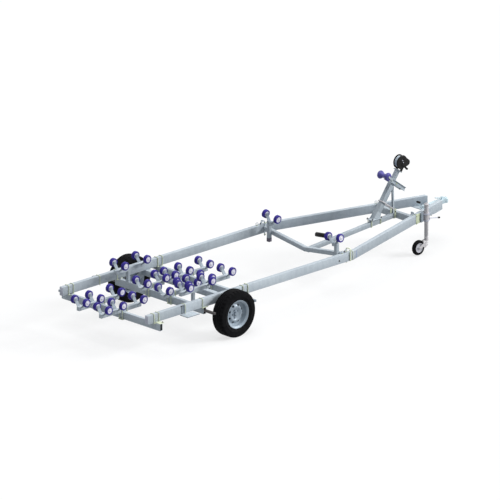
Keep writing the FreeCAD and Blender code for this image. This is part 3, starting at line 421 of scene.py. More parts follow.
def softened(node, slotName, width, segments=2):
    # a merged copy of a node's shape with its edges eased
    source = frame["nodes"][node]
    bm = bmesh.new()
    bm.from_mesh(source.data)
    bmesh.ops.remove_doubles(bm, verts=bm.verts, dist=0.00002)
    bmesh.ops.dissolve_limit(bm, angle_limit=math.radians(1), verts=bm.verts, edges=bm.edges)
    limit = math.radians(35)
    sharp = [edge for edge in bm.edges if edge.is_manifold and edge.calc_face_angle(0) > limit]
    bevelEdges(bm, sharp, width, segments, True)
    bmesh.ops.remove_doubles(bm, verts=bm.verts, dist=0.00002)
    bmesh.ops.dissolve_degenerate(bm, edges=bm.edges, dist=0.00002)
    return addPiece(bm, node + "_eased", source["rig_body"], slotName, node=node, recalculate=False)


def refinish(piece, finishName, chosen):
    # gives another finish to the faces whose middles pass the test
    piece.data.materials.append(finish[finishName])
    last = len(piece.data.materials) - 1
    for face in piece.data.polygons:
        if chosen(face.center):
            face.material_index = last


# frame steel

steel = {
    "corner": 0.003,  # eased edge of the sections
    "plate": 0.001,  # eased edge of plates and brackets
    "cover": 0.004,  # eased edge of the winch's cover
    "coupling": 0.006,
    "rail": (0.060, 0.120),
    "taper": 0.288,  # sideways run of a converging rail per length
    "hoopGap": 0.009,  # from the bow crossmember to the rail, for the hoop
    "armHeight": 0.056,  # cradle arms
    "armWidth": 0.050,
    "axleRise": 0.063,  # roller axles above the raised arms
}
sections = ["crossmember_rear", "crossmember_middle", "crossmember_front", "bow_crossmember",
            "nose_crossmember", "keel_beam", "torsion_axle", "winch_post_lower", "winch_post_upper"]
pairs = {name: [f"{name}_{side}" for side, sign in sides]
         for name in ("side_rail", "outrigger", "guide_post", "swing_arm")}
plates = [*pairs["side_rail"], "cradle_rear", "cradle_middle", "cradle_front", *pairs["outrigger"],
          *pairs["guide_post"], "nose_plate", *pairs["swing_arm"]]
eased = {node: softened(node, "galvanised", steel["corner"]) for node in sections}
eased.update({node: softened(node, "galvanised", steel["plate"]) for node in plates})
# keel and lower post in the darker zinc copy: painted shade
for node in ("keel_beam", "winch_post_lower"):
    eased[node].data.materials[0] = finish["drawbarZinc"]
softened("winch_cover", "winch_black", steel["cover"], 3)
softened("coupling_head", "coupling_steel", steel["coupling"], 3)
print("frame steel eased")

railWidth, railHeight = steel["rail"]
halfRail = railWidth / 2
railLow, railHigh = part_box("side_rail_left")
railTop = railHigh.z
railBottom = railTop - railHeight
bowLow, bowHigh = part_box("bow_crossmember")
bowX = (bowLow.x + bowHigh.x) / 2
railY = bowHigh.y + steel["hoopGap"] + halfRail
railFace = railY + halfRail
noseLow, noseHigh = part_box("nose_crossmember")
noseX = (noseLow.x + noseHigh.x) / 2
taper = steel["taper"]
noseRailY = noseHigh.y + halfRail * math.hypot(1, taper) - taper * (noseHigh.x - noseX)
bendX = noseX - (railY - noseRailY) / taper


def onRail(side, x):
    # place on a rail: x along it, y outwards from its middle, z up from the floor
    sign = dict(sides)[side]
    if x < bendX:
        return Matrix.Translation((x, sign * railY, 0)) @ mirrors[side]
    y = railY - taper * (x - bendX)
    turn = Matrix.Rotation(-sign * math.atan(taper), 4, "Z")
    return Matrix.Translation((x, sign * y, 0)) @ turn @ mirrors[side]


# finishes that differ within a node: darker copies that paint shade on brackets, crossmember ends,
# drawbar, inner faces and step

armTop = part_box("crossmember_rear")[1].z + steel["armHeight"]
raisedTop = pivot("rollers_outrigger_tail_left").z - steel["axleRise"]
# brackets above the cradle and outrigger arms in the darker zinc copy: painted shade
for node, top in (("cradle_rear", armTop), ("cradle_middle", armTop), ("cradle_front", armTop),
                  ("outrigger_left", raisedTop), ("outrigger_right", raisedTop)):
    refinish(eased[node], "bracketZinc", lambda middle: middle.z > top + 0.002)
# ends of the middle and front crossmembers beyond the rails painted dark: painted shade
for member, finishName in (("middle", "darkBolt"), ("front", "dullSteel")):
    refinish(eased[f"crossmember_{member}"], finishName,
             lambda middle: abs(middle.y) > railFace + 0.002)


# masks for painted shade on the step: its hangers and its plate
def isStepHanger(middle):
    return railFace + 0.0002 < abs(middle.y) < railY + 0.045 and middle.z > railBottom - 0.001


def isStepPlate(middle):
    return abs(middle.y) > railY + 0.060


for side, sign in sides:
    rail, start = eased[f"side_rail_{side}"], bendX + 0.02
    inward = onRail(side, bendX + 0.001).inverted()
    # converging drawbar part of the rail in the darker zinc copy: painted shade
    refinish(rail, "drawbarZinc", lambda middle: middle.x > start)
    # inner faces of the converging part darker still: painted shade
    refinish(rail, "innerZinc",
             lambda middle: middle.x > start and (inward @ middle).y < -halfRail + 0.0005)
    # step hangers and plate in darker steel: painted shade
    refinish(rail, "dullSteel", lambda middle: isStepHanger(middle) or isStepPlate(middle))
    # step plate's top between the ribs near black: painted shade in the gaps
    refinish(rail, "darkBolt", lambda middle: isStepPlate(middle) and middle.z > railBottom - 0.0035)
    # guide post tops in the darker zinc copy: painted shade
    refinish(eased[f"guide_post_{side}"], "bracketZinc", lambda middle: middle.z > railTop + 0.050)
print("finishes set")


# hull rollers

roller = {
    "width": 0.048,
    "split": 0.1135,  # middle of a roller from the middle of its pair
    "shoulder": 0.008,  # rounding of the tread
    "groove": 0.0015,
    "hubRadius": 0.038,
    "capRadius": 0.012,
    "steps": 40,
    "sleeveRadius": 0.031,  # rubber sleeve at the right guide's inner end
    "sleeveLength": 0.212,
}
rollerRadius = middleAndHalf("rollers_rear_mid_left")[1].z


def addRoller(bm, centre, axis):
    radius, half, steps = rollerRadius, roller["width"] / 2, roller["steps"]
    hub, cap = roller["hubRadius"], roller["capRadius"]
    shoulder, groove = roller["shoulder"], roller["groove"]
    curve = [(radius - shoulder * (1 - math.cos(turn)), half - shoulder * (1 - math.sin(turn)))
             for turn in map(math.radians, (0, 22, 45, 68, 90))]
    rib = [(radius, 0.0), (radius, 0.003), (radius - groove, 0.004), (radius - groove, 0.006),
           (radius, 0.007)]
    upper = rib + curve + [(hub + 0.002, half - 0.001), (hub, half - 0.006)]
    spinProfile(bm, towards(-1, reversed(upper[1:])) + upper, centre, axis, steps)
    face = [(hub, half - 0.006), (hub, half), (hub - 0.003, half + 0.001), (hub - 0.006, half - 0.0005),
            (cap + 0.003, half - 0.0005), (cap, half + 0.003), (cap * 0.5, half + 0.0045),
            (0, half + 0.005)]
    for sign in (1, -1):
        spinProfile(bm, towards(sign, face), centre, axis, steps, 1)


for body in [name for name in frame["bodies"] if name.startswith("rollers_")]:
    middle, axis = pivot(body), Vector(joints[body]["axis"]).normalized()
    bm = bmesh.new()
    for sign in (-1, 1):
        addRoller(bm, middle + axis * sign * roller["split"], axis)
    if body == "rollers_guide_right":
        start = middle + axis * (roller["split"] + roller["width"] / 2)
        wide, length = roller["sleeveRadius"], roller["sleeveLength"]
        tube = [(0, 0), (wide - 0.004, 0), (wide, 0.004), (wide, length - 0.006),
                (wide - 0.006, length), (0.012, length), (0.009, length - 0.004), (0, length - 0.004)]
        spinProfile(bm, tube, start, axis, roller["steps"], 2)
    addPiece(bm, body + "_pair", body, "blue_rubber", ["blue_rubber", "hub", "sleeve"], body, 50)
print("hull rollers made")


# road wheels

tyre = {
    "bead": 0.180,
    # radius above the bead, then share of the half width
    "beadWall": ((0, 0.72), (0.012, 0.82), (0.022, 0.86), (0.030, 0.90)),
    # shares of the outer radius and of the half width
    "sidewall": ((0.74, 0.985), (0.745, 1), (0.775, 1), (0.78, 0.985), (0.87, 0.985), (0.935, 0.955),
                 (0.970, 0.90), (0.989, 0.82), (0.998, 0.70)),
    "grooves": (-0.046, -0.016, 0.016, 0.046),  # middles of the tread grooves
    "grooveWidth": 0.008,
    "grooveDepth": 0.007,
    "shoulder": (0.94, 0.999, 0.6),  # radius from and to, width from, as shares
    "sipe": 0.005,  # depth of the shoulder cuts
    "every": 4,  # one cut in so many steps
    "steps": 144,
}
rim = {
    "disc": (
        (0.0, 0.058), (0.026, 0.058), (0.03, 0.054), (0.032, 0.036), (0.07, 0.036), (0.078, 0.042),
        (0.094, 0.048), (0.106, 0.046), (0.118, 0.036), (0.142, 0.026), (0.156, 0.03), (0.163, 0.044),
        (0.168, 0.07), (0.18, 0.079), (0.192, 0.088), (0.197, 0.088), (0.197, 0.085), (0.19, 0.082),
        (0.178, 0.071), (0.178, -0.071), (0.197, -0.084), (0.197, -0.088), (0.17, -0.076),
        (0.16, -0.06), (0.152, 0.018), (0.14, 0.018), (0.11, 0.03), (0.094, 0.04), (0.07, 0.028),
        (0.06, 0.02), (0.06, -0.046), (0.1, -0.05), (0.1, -0.098), (0.0, -0.098)),
    "steps": 96,
    "holes": 8,
    "holeStart": 23,  # degrees
    "holeRadius": 0.017,
    "holeCircle": 0.121,
    "holeReach": (0.012, 0.07),
    "nuts": 5,
    "nutSize": 0.0105,
    "nutCircle": 0.056,
    "nutSeat": 0.036,
    "drum": ((0.062, -0.030), (0.141, -0.030), (0.145, -0.034), (0.145, -0.050), (0.062, -0.050)),
}


def makeTyre(side):
    node = f"road_tyre_{side}"
    middle, halves = middleAndHalf(node)
    outer, half = halves.z, halves.y
    edge, deep = tyre["grooveWidth"] / 2, tyre["grooveDepth"]
    crown = []
    for y in tyre["grooves"]:
        crown += [(outer, y - edge), (outer - deep, y - edge * 0.6), (outer - deep, y + edge * 0.6),
                  (outer, y + edge)]
    wall = [(tyre["bead"] + rise, half * share) for rise, share in tyre["beadWall"]]
    wall += [(outer * reach, half * share) for reach, share in tyre["sidewall"]]
    bm = bmesh.new()
    profile = towards(-1, wall) + crown + wall[::-1]
    spinProfile(bm, profile, middle, steps=tyre["steps"], closed=True)
    bmesh.ops.recalc_face_normals(bm, faces=bm.faces)
    near, far, wide = tyre["shoulder"]
    cuts = []
    for face in bm.faces:
        spot = face.calc_center_median() - middle
        step = int(math.degrees(math.atan2(spot.z, spot.x)) % 360 / (360 / tyre["steps"]))
        onShoulder = near < math.hypot(spot.x, spot.z) / outer < far and abs(spot.y) > half * wide
        if onShoulder and step % tyre["every"] == 0:
            cuts.append(face)
    bmesh.ops.inset_individual(bm, faces=cuts, thickness=0.0006, depth=-tyre["sipe"])
    addPiece(bm, node + "_moulded", f"road_wheel_{side}", "tyre", node=node, recalculate=False)


def carve(piece, cutter):
    # cuts the closed shapes of the cutter out of the piece
    tool = bpy.data.objects.new("holeTool", bpy.data.meshes.new("holeTool"))
    cutter.to_mesh(tool.data)
    cutter.free()
    bpy.context.scene.collection.objects.link(tool)
    cut = piece.modifiers.new("holes", "BOOLEAN")
    cut.object = tool
    cut.solver = "EXACT"
    bpy.context.view_layer.update()
    shaped = piece.evaluated_get(bpy.context.evaluated_depsgraph_get())
    mesh = bpy.data.meshes.new_from_object(shaped)
    piece.modifiers.clear()
    piece.data = mesh
    bpy.data.objects.remove(tool)


def makeRim(side, sign):
    node, body = f"road_rim_{side}", f"road_wheel_{side}"
    axle = pivot(body)

    def onDisc(turn, radius, along):
        return axle + Vector((math.cos(turn) * radius, sign * along, math.sin(turn) * radius))

    bm = bmesh.new()
    spinProfile(bm, towards(sign, rim["disc"]), axle, steps=rim["steps"])
    for i in range(rim["nuts"]):
        spot = onDisc(math.tau * (i + 0.5) / rim["nuts"], rim["nutCircle"], rim["nutSeat"])
        addNut(bm, spot, (0, sign, 0), rim["nutSize"])
    piece = addPiece(bm, node + "_pressed", body, "rim_steel", node=node)
    cutter = bmesh.new()
    for i in range(rim["holes"]):
        turn = math.radians(rim["holeStart"]) + math.tau * i / rim["holes"]
        start, end = (onDisc(turn, rim["holeCircle"], along) for along in rim["holeReach"])
        addRod(cutter, start, end, rim["holeRadius"], 24)
    carve(piece, cutter)
    # brake drum behind the holes in dark paint, which also paints the shade seen through them
    drumBm = bmesh.new()
    spinProfile(drumBm, towards(sign, rim["drum"]), axle, steps=rim["steps"], closed=True)
    addPiece(drumBm, f"brake_drum_{side}", body, "rim_steel", ["darkBolt"])


for side, sign in sides:
    makeTyre(side)
    makeRim(side, sign)
print("road wheels made")


# clamps over the rails and cradle arms

clamp = {
    "bar": 0.0055,
    "bend": 0.013,
    "offset": 0.044,  # before and behind a crossmember's middle
    "plate": 0.006,  # plates under the arms and rails: thickness, then half length
    "plateReach": 0.052,
    "guardBack": 0.761,  # U-bolt over the step, behind the wheel's axle
    "hoopThick": 0.008,
    "hoopWidth": 0.018,
    "hoopRise": 0.044,  # hoop's top above the rail
    "hoopDrop": 0.040,  # its inner leg below the rail
    "hookBack": 0.058,  # hook behind the bow crossmember
    "hookRise": (0.030, 0.046),
    "wire": 0.0042,  # bars over the rails at the bow and nose
    "eyeBar": 0.0038,  # lashing eyes
    "eyeRadius": 0.017,
}
cradleY = pivot("rollers_rear_mid_left").y
clampBm = bmesh.new()


def addSaddle(x, y, width, top, foot, spots=(-1, 1)):
    # a U bar before and behind the crossmember
    half, crest = width / 2 + clamp["bar"] + 0.0005, top + clamp["bar"]
    for spot in spots:
        at = x + spot * clamp["offset"]
        bar = [(at, y - half, foot), (at, y - half, crest), (at, y + half, crest), (at, y + half, foot)]
        addBentRod(clampBm, bar, clamp["bar"], clamp["bend"])


for member, spots in (("rear", (-1, 1)), ("middle", (-1,)), ("front", (-1, 1))):
    low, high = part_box(f"crossmember_{member}")
    x, reach = (low.x + high.x) / 2, clamp["plateReach"]
    for side, sign in sides:
        addSaddle(x, sign * railY, railWidth, railTop, high.z - 0.014, spots)
        addSaddle(x, sign * cradleY, steel["armWidth"], high.z + steel["armHeight"], low.z - 0.004)
        for y, half, top in ((cradleY, 0.042, low.z), (railY, 0.046, high.z)):
            addBlock(clampBm, (x - reach, y - half, top - clamp["plate"]), (x + reach, y + half, top),
                     0.001, turn=mirrors[side])
guardX = pivot("road_wheel_left").x - clamp["guardBack"]
half = halfRail + 0.001 + clamp["hoopThick"] / 2
crest = railTop + clamp["hoopRise"] + clamp["hoopThick"] / 2
hoop = ((-half, railBottom - clamp["hoopDrop"]), (-half, crest), (half, crest), (half, railBottom))
reach, top = halfRail + 0.004, railTop + 0.004
wrap = ((-reach, railBottom), (-reach, top), (reach, top), (reach, railBottom))
hook = tuple(zip((0, 0, 0.038), (0, *clamp["hookRise"])))
eye = [(clamp["eyeRadius"] + clamp["eyeBar"] * math.cos(turn), clamp["eyeBar"] * math.sin(turn))
       for turn in (i * math.tau / 10 for i in range(10))]
rearX, rearHigh = middleAndHalf("crossmember_rear")[0].x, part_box("crossmember_rear")[1]
for side, sign in sides:
    addSaddle(guardX, sign * railY, railWidth, railTop, railBottom - 0.010, (0,))
    for x in (guardX - 0.073, guardX - 0.045):
        addNut(clampBm, (x, sign * (railFace + 0.002), railTop - 0.004), (0, sign, 0), 0.0075, 1, 0.2)
    band = [(bowX, sign * (railY + across), z) for across, z in hoop]
    addStrap(clampBm, band, (clamp["hoopWidth"], 0, 0), clamp["hoopThick"], 0.012,
             2 if side == "left" else 0)
    seatY = sign * (railY - half - clamp["hoopThick"] / 2)
    for z in (railTop + 0.022, railBottom - 0.022):
        addNut(clampBm, (bowX, seatY, z), (0, -sign, 0), 0.009, 0, 0.3)
    x, y = bowX - clamp["hookBack"], sign * (railY - 0.014)
    addStrap(clampBm, [(x + ahead, y, railTop + rise) for ahead, rise in hook], (0, sign * 0.020, 0),
             0.005, 0.008, 2)
    addNut(clampBm, (x - 0.006, y, railTop + 0.018), (-1, 0, 0), 0.008, 1, 0.3)
    for x in (bowX + 0.052, noseX + 0.010):
        bar = [onRail(side, x) @ Vector((0, across, z)) for across, z in wrap]
        addBentRod(clampBm, bar, clamp["wire"], 0.008)
    lug, inner = onRail(side, noseX), -halfRail
    addBlock(clampBm, (-0.030, inner - 0.030, railTop), (0.030, inner + 0.020, railTop + 0.005),
             0.001, 2, lug)
    addBlock(clampBm, (-0.004, inner - 0.030, railTop), (0.002, inner + 0.016, railTop + 0.038),
             0.001, 2, lug)
    addNut(clampBm, lug @ Vector((0.004, inner - 0.010, railTop + 0.020)), (1, 0, 0), 0.009, 1, 0.3)
    for x in (bowX - 0.115, noseX - 0.045):
        base = onRail(side, x) @ Vector((0, 0, railTop))
        addRod(clampBm, base, base + Vector((0, 0, 0.008)), 0.011)
        spinProfile(clampBm, eye, base + Vector((0, 0, 0.024)), (0.4, 1, 0), 28, 2, True)
    top = rearHigh.z + 0.006
    addBlock(clampBm, (rearX - 0.025, railFace + 0.001, rearHigh.z), (rearX + 0.055, rearHigh.y, top),
             0.001, turn=mirrors[side])
    addNut(clampBm, (rearX + 0.042, sign * (rearHigh.y - 0.020), top), (0, 0, 1), 0.010, 1, 0.5)
addPiece(clampBm, "saddle_clamps_bent", "chassis", "zinc_plate",
         ["zinc_plate", "darkBolt", "galvanised"], "saddle_clamps")
print("clamps made")


# bow roller, winch drum and jockey wheel

bow = {"waist": 0.030, "steps": 56}
middle, halves = middleAndHalf("bow_roller")
half, radius, waist = halves.y, halves.z, bow["waist"]
bowBm = bmesh.new()
lobe = [(0.008, 0), (0.02, 0), (0.040, 0.001), (0.052, 0.006), (radius, 0.018), (radius - 0.001, 0.028),
        (0.052, 0.040), (0.044, 0.052), (0.036, 0.064), (waist + 0.002, 0.073), (waist, 0.080),
        (waist, half)]
spinProfile(bowBm, mirrored(half, lobe), middle, steps=bow["steps"], closed=True)
addPiece(bowBm, "bow_roller_moulded", "bow_roller", "bow_rubber", node="bow_roller", sharpAngle=60)

drum = {"strap": 0.077, "wall": 0.036, "flange": 0.006, "steps": 64, "ribs": 10}
middle, halves = middleAndHalf("winch_drum")
end, radius = halves.y, halves.z
wall, thick, ribs = drum["wall"], drum["flange"], drum["ribs"]
edge = wall - thick
drumBm = bmesh.new()
flange = [(0.0, end), (0.008, end), (0.008, wall), (radius - 0.004, wall), (radius, wall - 0.001),
          (radius, edge + 0.001), (radius - 0.004, edge), (0.02, edge)]
for sign in (1, -1):
    spinProfile(drumBm, towards(sign, flange), middle, steps=drum["steps"])
wound = [(drum["strap"] + 0.0009 * math.cos(i * math.pi), -edge + i * edge / ribs)
         for i in range(2 * ribs + 1)]
spinProfile(drumBm, [(0.02, -edge)] + wound + [(0.02, edge)], middle, steps=drum["steps"], material=1)
addPiece(drumBm, "winch_drum_wound", "winch_drum", "winch_strap", ["winch_black", "winch_strap"],
         "winch_drum")

jockey = {"rim": 0.066, "steps": 64}
axle, halves = pivot("jockey_wheel"), middleAndHalf("jockey_wheel")[1]
half, radius, bore = halves.y, halves.z, jockey["rim"]
jockeyBm = bmesh.new()
tread = [(bore, 0.006), (bore + 0.006, 0.002), (0.088, 0), (0.098, 0.006), (0.1035, 0.015),
         (radius, 0.024), (radius, half)]
dish = [(0.009, 0), (0.018, 0), (0.02, 0.004), (0.022, 0.012), (0.054, 0.012), (0.058, 0.008),
        (0.06, 0.003), (bore, 0.003), (bore, half)]
for material, profile in enumerate((tread, dish)):
    spinProfile(jockeyBm, mirrored(half, profile), axle, steps=jockey["steps"], material=material,
                closed=True)
addPiece(jockeyBm, "jockey_wheel_moulded", "jockey_wheel", "jockey_tyre",
         ["jockey_tyre", "jockey_rim"], "jockey_wheel")
print("bow roller, drum and jockey wheel made")


# winch post fittings

post = {
    "foot": 0.0407,  # middle of the post at the keel, ahead of its lower rear corner
    "footZ": 0.550,
    "run": 0.467,  # forward lean
    "rise": 0.633,
    "width": 0.066,
    "depth": 0.075,
    "keelSlope": 0.0682,
    "keelWidth": 0.060,
    "baseReach": 0.100,
    "packerReach": 0.075,
    "plate": 0.008,
    "gusset": 0.006,
    "gussetTop": 0.105,  # along the post
    "stay": 0.025,
    "stayAhead": 0.356,  # front stay from the middle of the foot
    "loop": 0.0075,
    "loopTop": 0.250,
    "loopFoot": 0.607,
}
postLow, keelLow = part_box("winch_post_lower")[0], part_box("keel_beam")[0]
footX, footZ = postLow.x + post["foot"], post["footZ"]
halfPost, halfDepth = post["width"] / 2, post["depth"] / 2
lean = math.atan2(post["run"], post["rise"])
# x across the post, z along it
postFrame = Matrix.Translation((footX, 0, footZ)) @ Matrix.Rotation(lean, 4, "Y")


def keelTop(x):
    return keelLow.z + post["keelWidth"] + post["keelSlope"] * (x - keelLow.x)


def addKeelStrap(x, width, half, top):
    # a flat U under the keel beam
    under = keelTop(x) - post["keelWidth"] - post["plate"] / 2
    points = [(x, -half, top), (x, -half, under), (x, half, under), (x, half, top)]
    addStrap(footBm, points, (width, 0, 0), post["plate"] * 0.75, 0.010, 1)


footBm = bmesh.new()
reach, baseTop = post["baseReach"], footZ + post["plate"]
addBlock(footBm, (footX - reach, -0.06, footZ), (footX + reach, 0.06, baseTop), 0.0015)
rear, front = footX - post["packerReach"], footX + post["packerReach"]
packer = [(rear, 0.029, keelTop(rear)), (front, 0.029, keelTop(front)), (front, 0.029, footZ),
          (rear, 0.029, footZ)]
addPlate(footBm, packer, (0, -0.058, 0))
boltSpots = (footX - reach + 0.014, footX + reach - 0.014)
gussetTop = [postFrame @ Vector((across, 0, post["gussetTop"])) for across in (halfDepth, -halfDepth)]
for side, sign in sides:
    outline = [(footX - 0.060, baseTop), (footX + 0.070, baseTop)] + [(p.x, p.z) for p in gussetTop]
    addPlate(footBm, [(x, sign * halfPost, z) for x, z in outline], (0, sign * post["gusset"], 0))
    for x in boltSpots:
        addNut(footBm, (x, sign * 0.047, baseTop), (0, 0, 1), 0.010, 2, 0.6)
for x in boltSpots:
    addKeelStrap(x, 0.012, post["keelWidth"] / 2 + 0.003, footZ)
stayX, half = footX + post["stayAhead"], post["stay"] / 2
slope = math.tan(math.pi / 2 - lean)
stay = [(stayX - half, half, keelTop(stayX)), (stayX + half, half, keelTop(stayX))]
stay += [(x, half, footZ + (x - footX) * slope - halfDepth / math.sin(lean))
         for x in (stayX + half - 0.015, stayX - half - 0.015)]
addPlate(footBm, stay, (0, -post["stay"], 0), 3)
strapHalf, loopFoot = halfPost + post["plate"] / 2, post["loopFoot"]
addKeelStrap(stayX, 0.030, strapHalf, loopFoot + 0.012)
for side, sign in sides:
    seat = (stayX, sign * (strapHalf + 0.004), loopFoot - 0.03)
    addNut(footBm, seat, (0, sign, 0), 0.009, 2, 0.4)
loopY = halfPost + post["loop"] + 0.001
back = postFrame @ Vector((-halfDepth - post["loop"] - 0.001, 0, post["loopTop"]))
loop = [(stayX - 0.012, -loopY, loopFoot), (back.x, -loopY, back.z), (back.x, loopY, back.z),
        (stayX - 0.012, loopY, loopFoot)]
addBentRod(footBm, loop, post["loop"], 0.014, 12, 4)
addPiece(footBm, "post_fittings", "chassis", "galvanised",
         ["galvanised", "zinc_plate", "darkBolt", "dullSteel", "jockey_steel"], "winch_post_braces")

channel = {
    "low": 0.536,  # the channels' lower edge along the post
    "high": 0.592,
    "rear": 0.124,  # reach behind and ahead of the post's middle
    "front": 0.255,
    "wall": 0.005,
    "lip": 0.018,
    "ear": 0.014,
    "pin": 0.0078,
    "bolts": (-0.055, 0.055),
}
bandBm = bmesh.new()
wall, lip, low, high = (channel[name] for name in ("wall", "lip", "low", "high"))
rear, front, middle = -channel["rear"], channel["front"], (low + high) / 2
for side, sign in sides:
    for bottom, top, outer in ((low, high, wall), (low, low + wall, lip), (high - wall, high, lip)):
        addBlock(bandBm, (rear, halfPost, bottom), (front, halfPost + outer, top), 0.0008,
                 turn=postFrame @ mirrors[side])
    for across in channel["bolts"]:
        seat = postFrame @ Vector((across, sign * (halfPost + wall), middle))
        addNut(bandBm, seat, (0, sign, 0), 0.010, 1, 0.4)
addBlock(bandBm, (front - 0.020, -halfPost, low + 0.004), (front - 0.015, halfPost, high - 0.004),
         0.0008, turn=postFrame)
pin, earY = pivot("bow_roller"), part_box("bow_roller")[1].y + 0.006
addBlock(bandBm, (rear, -earY, low + 0.012), (rear + wall, earY, high - 0.012), 0.0008, turn=postFrame)
seat = postFrame @ Vector((rear + wall, 0, middle))
for side, sign in sides:
    addLink(bandBm, (pin.x, sign * earY, pin.z), (seat.x, sign * earY, seat.z), (channel["ear"],) * 2,
            (0, wall, 0))
pinEnd = Vector((0, earY + 0.004, 0))
addRod(bandBm, pin - pinEnd, pin + pinEnd, channel["pin"], 16, 1)
addPiece(bandBm, "bow_channels", "chassis", "galvanised", ["galvanised", "zinc_plate"],
         "bow_roller_bracket")

winch = {
    "base": 0.738,  # top of the head plate along the post
    "sideY": 0.0435,
    "side": 0.004,
    "outline": ((0.004, 0), (0.044, 0), (0.044, 0.050), (0.010, 0.124), (-0.030, 0.094)),
    "hub": 0.030,
    "hubBore": 0.0083,
    "coverDepth": 0.025,
    "dots": ((-0.025, 0.040), (-0.008, 0.006)),  # x and z from the drum's axle
    "bolts": ((-0.045, -0.020), (0.020, -0.035), (-0.060, 0.040), (0.045, 0.015), (0.005, 0.050)),
    "crank": ((-0.020, -0.010), (0.045, -0.092)),
}
drumAxle, sideY, half, base = pivot("winch_drum"), winch["sideY"], winch["side"] / 2, winch["base"]


def besideDrum(spot, y):
    return Vector((drumAxle.x + spot[0], y, drumAxle.z + spot[1]))


frameBm = bmesh.new()
plate = [postFrame @ Vector((across, 0, base + along)) for across, along in winch["outline"]]
ring = ringProfile(winch["hubBore"], winch["hub"], -half, half)
for side, sign in sides:
    addPlate(frameBm, [(p.x, sign * sideY - half, p.z) for p in plate], (0, winch["side"], 0))
    spinProfile(frameBm, ring, besideDrum((0, 0), sign * sideY), steps=40, closed=True)
addBlock(frameBm, (-0.036, -sideY, base), (0.050, sideY, base + 0.005), 0.001, 1, postFrame)
addPiece(frameBm, "winch_side_plates", "chassis", "winch_black", ["winch_black", "galvanised"],
         "winch_frame")
coverFace = -sideY - half - winch["coverDepth"]
dotBm = bmesh.new()
dot = [(0.0, -0.004), (0.006, -0.0035), (0.0085, 0.0), (0.0, 0.0)]
for spot in winch["dots"]:
    spinProfile(dotBm, dot, besideDrum(spot, coverFace), steps=20)
for spot in winch["bolts"]:
    addNut(dotBm, besideDrum(spot, coverFace), (0, -1, 0), 0.006, 1, 0.1)
addPiece(dotBm, "cover_bolts", "chassis", "winch_black", ["cap", "winch_black"])
crankBm = bmesh.new()
start, elbow = (besideDrum(spot, coverFace - 0.006) for spot in winch["crank"])
addLink(crankBm, start, elbow, (0.016, 0.012), (0, 0.010, 0))
addRod(crankBm, elbow + Vector((0, 0.004, 0)), elbow + Vector((0, -0.016, 0)), 0.0145, 20)
addPiece(crankBm, "winch_handle", "chassis", "winch_black", ["winch_black"])
print("winch post fitted")


# jockey wheel's tube and clamp

prop = {
    "radius": 0.0305,  # outer tube
    "bore": 0.0285,
    "leg": 0.0280,
    "foot": 0.440,
    "top": 0.697,
    "knob": 0.016,
    "rod": 0.0055,
    "bladeThick": 0.005,
    "forkHalf": 0.0352,
    "blade": ((-0.028, 0), (0.008, 0), (0.009, -0.030), (0.002, -0.056), (-0.016, -0.077),
              (-0.050, -0.098)),  # front edge, from the crown down
    "bladeInner": ((-0.082, -0.076), (-0.054, -0.056), (-0.036, -0.030)),
    "bladeEnd": 0.020,
    # blocks on the rail: back from the leg, rear and front end, thickness, below and above the
    # rail, finish
    "holders": ((0.189, -0.047, 0.047, 0.006, 0.010, 0.010, 1),
                (0.110, -0.030, 0.030, 0.030, 0.006, 0.004, 2),
                (0.0, -0.080, 0.030, 0.010, -0.004, -0.016, 0)),
    "bandHalf": 0.008,
    "lever": ((0.052, -0.012, 0.482), (0.212, -0.012, 0.452)),
}
legAxis = pivot("jockey_fork")


def atLeg(x, y, z):
    # place beside the leg's axis, z up from the floor
    return Vector((legAxis.x + x, legAxis.y + y, z))


def spinLeg(bm, profile, material=0, closed=False):
    spinProfile(bm, profile, atLeg(0, 0, 0), (0, 0, 1), 40, material, closed)


foot, top, outer, bore = (prop[name] for name in ("foot", "top", "radius", "bore"))
tubeBm = bmesh.new()
spinLeg(tubeBm, [
    (0.0, top - 0.010), (bore, top - 0.010), (bore, foot), (outer + 0.0015, foot),
    (outer + 0.0015, foot + 0.012), (outer, foot + 0.014), (outer, top - 0.022),
    (outer + 0.004, top - 0.020), (outer + 0.004, top - 0.004), (outer, top), (0.012, top + 0.004),
    (0.010, top + 0.014), (0.0, top + 0.015)])
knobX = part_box("jockey_outer_tube")[0].x + 0.017 - legAxis.x
rod = [atLeg(-bore, 0, 0.640), atLeg(-0.083, 0, 0.645), atLeg(knobX, 0, 0.730), atLeg(knobX, 0, 0.752)]
addBentRod(tubeBm, rod, prop["rod"], 0.012, 10, 1)
addRod(tubeBm, atLeg(knobX, -0.028, 0.755), atLeg(knobX, 0.028, 0.755), prop["knob"], 20, 2, 0.014)
addPiece(tubeBm, "prop_tube", "chassis", "jockey_steel",
         ["jockey_steel", "coupling_steel", "winch_black"], "jockey_outer_tube")

legLow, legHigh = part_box("jockey_leg")
foot, leg = legLow.z, prop["leg"]
legBm = bmesh.new()
spinLeg(legBm, [
    (0.0, foot + 0.060), (0.0102, foot + 0.060), (0.0102, foot), (0.024, foot), (leg, foot + 0.004),
    (leg, foot + 0.050), (0.0265, foot + 0.052), (0.0265, foot + 0.060), (leg, foot + 0.062),
    (leg, legHigh.z - 0.002), (0.0, legHigh.z)])
addPiece(legBm, "prop_leg", "jockey_leg", "jockey_steel", node="jockey_leg")

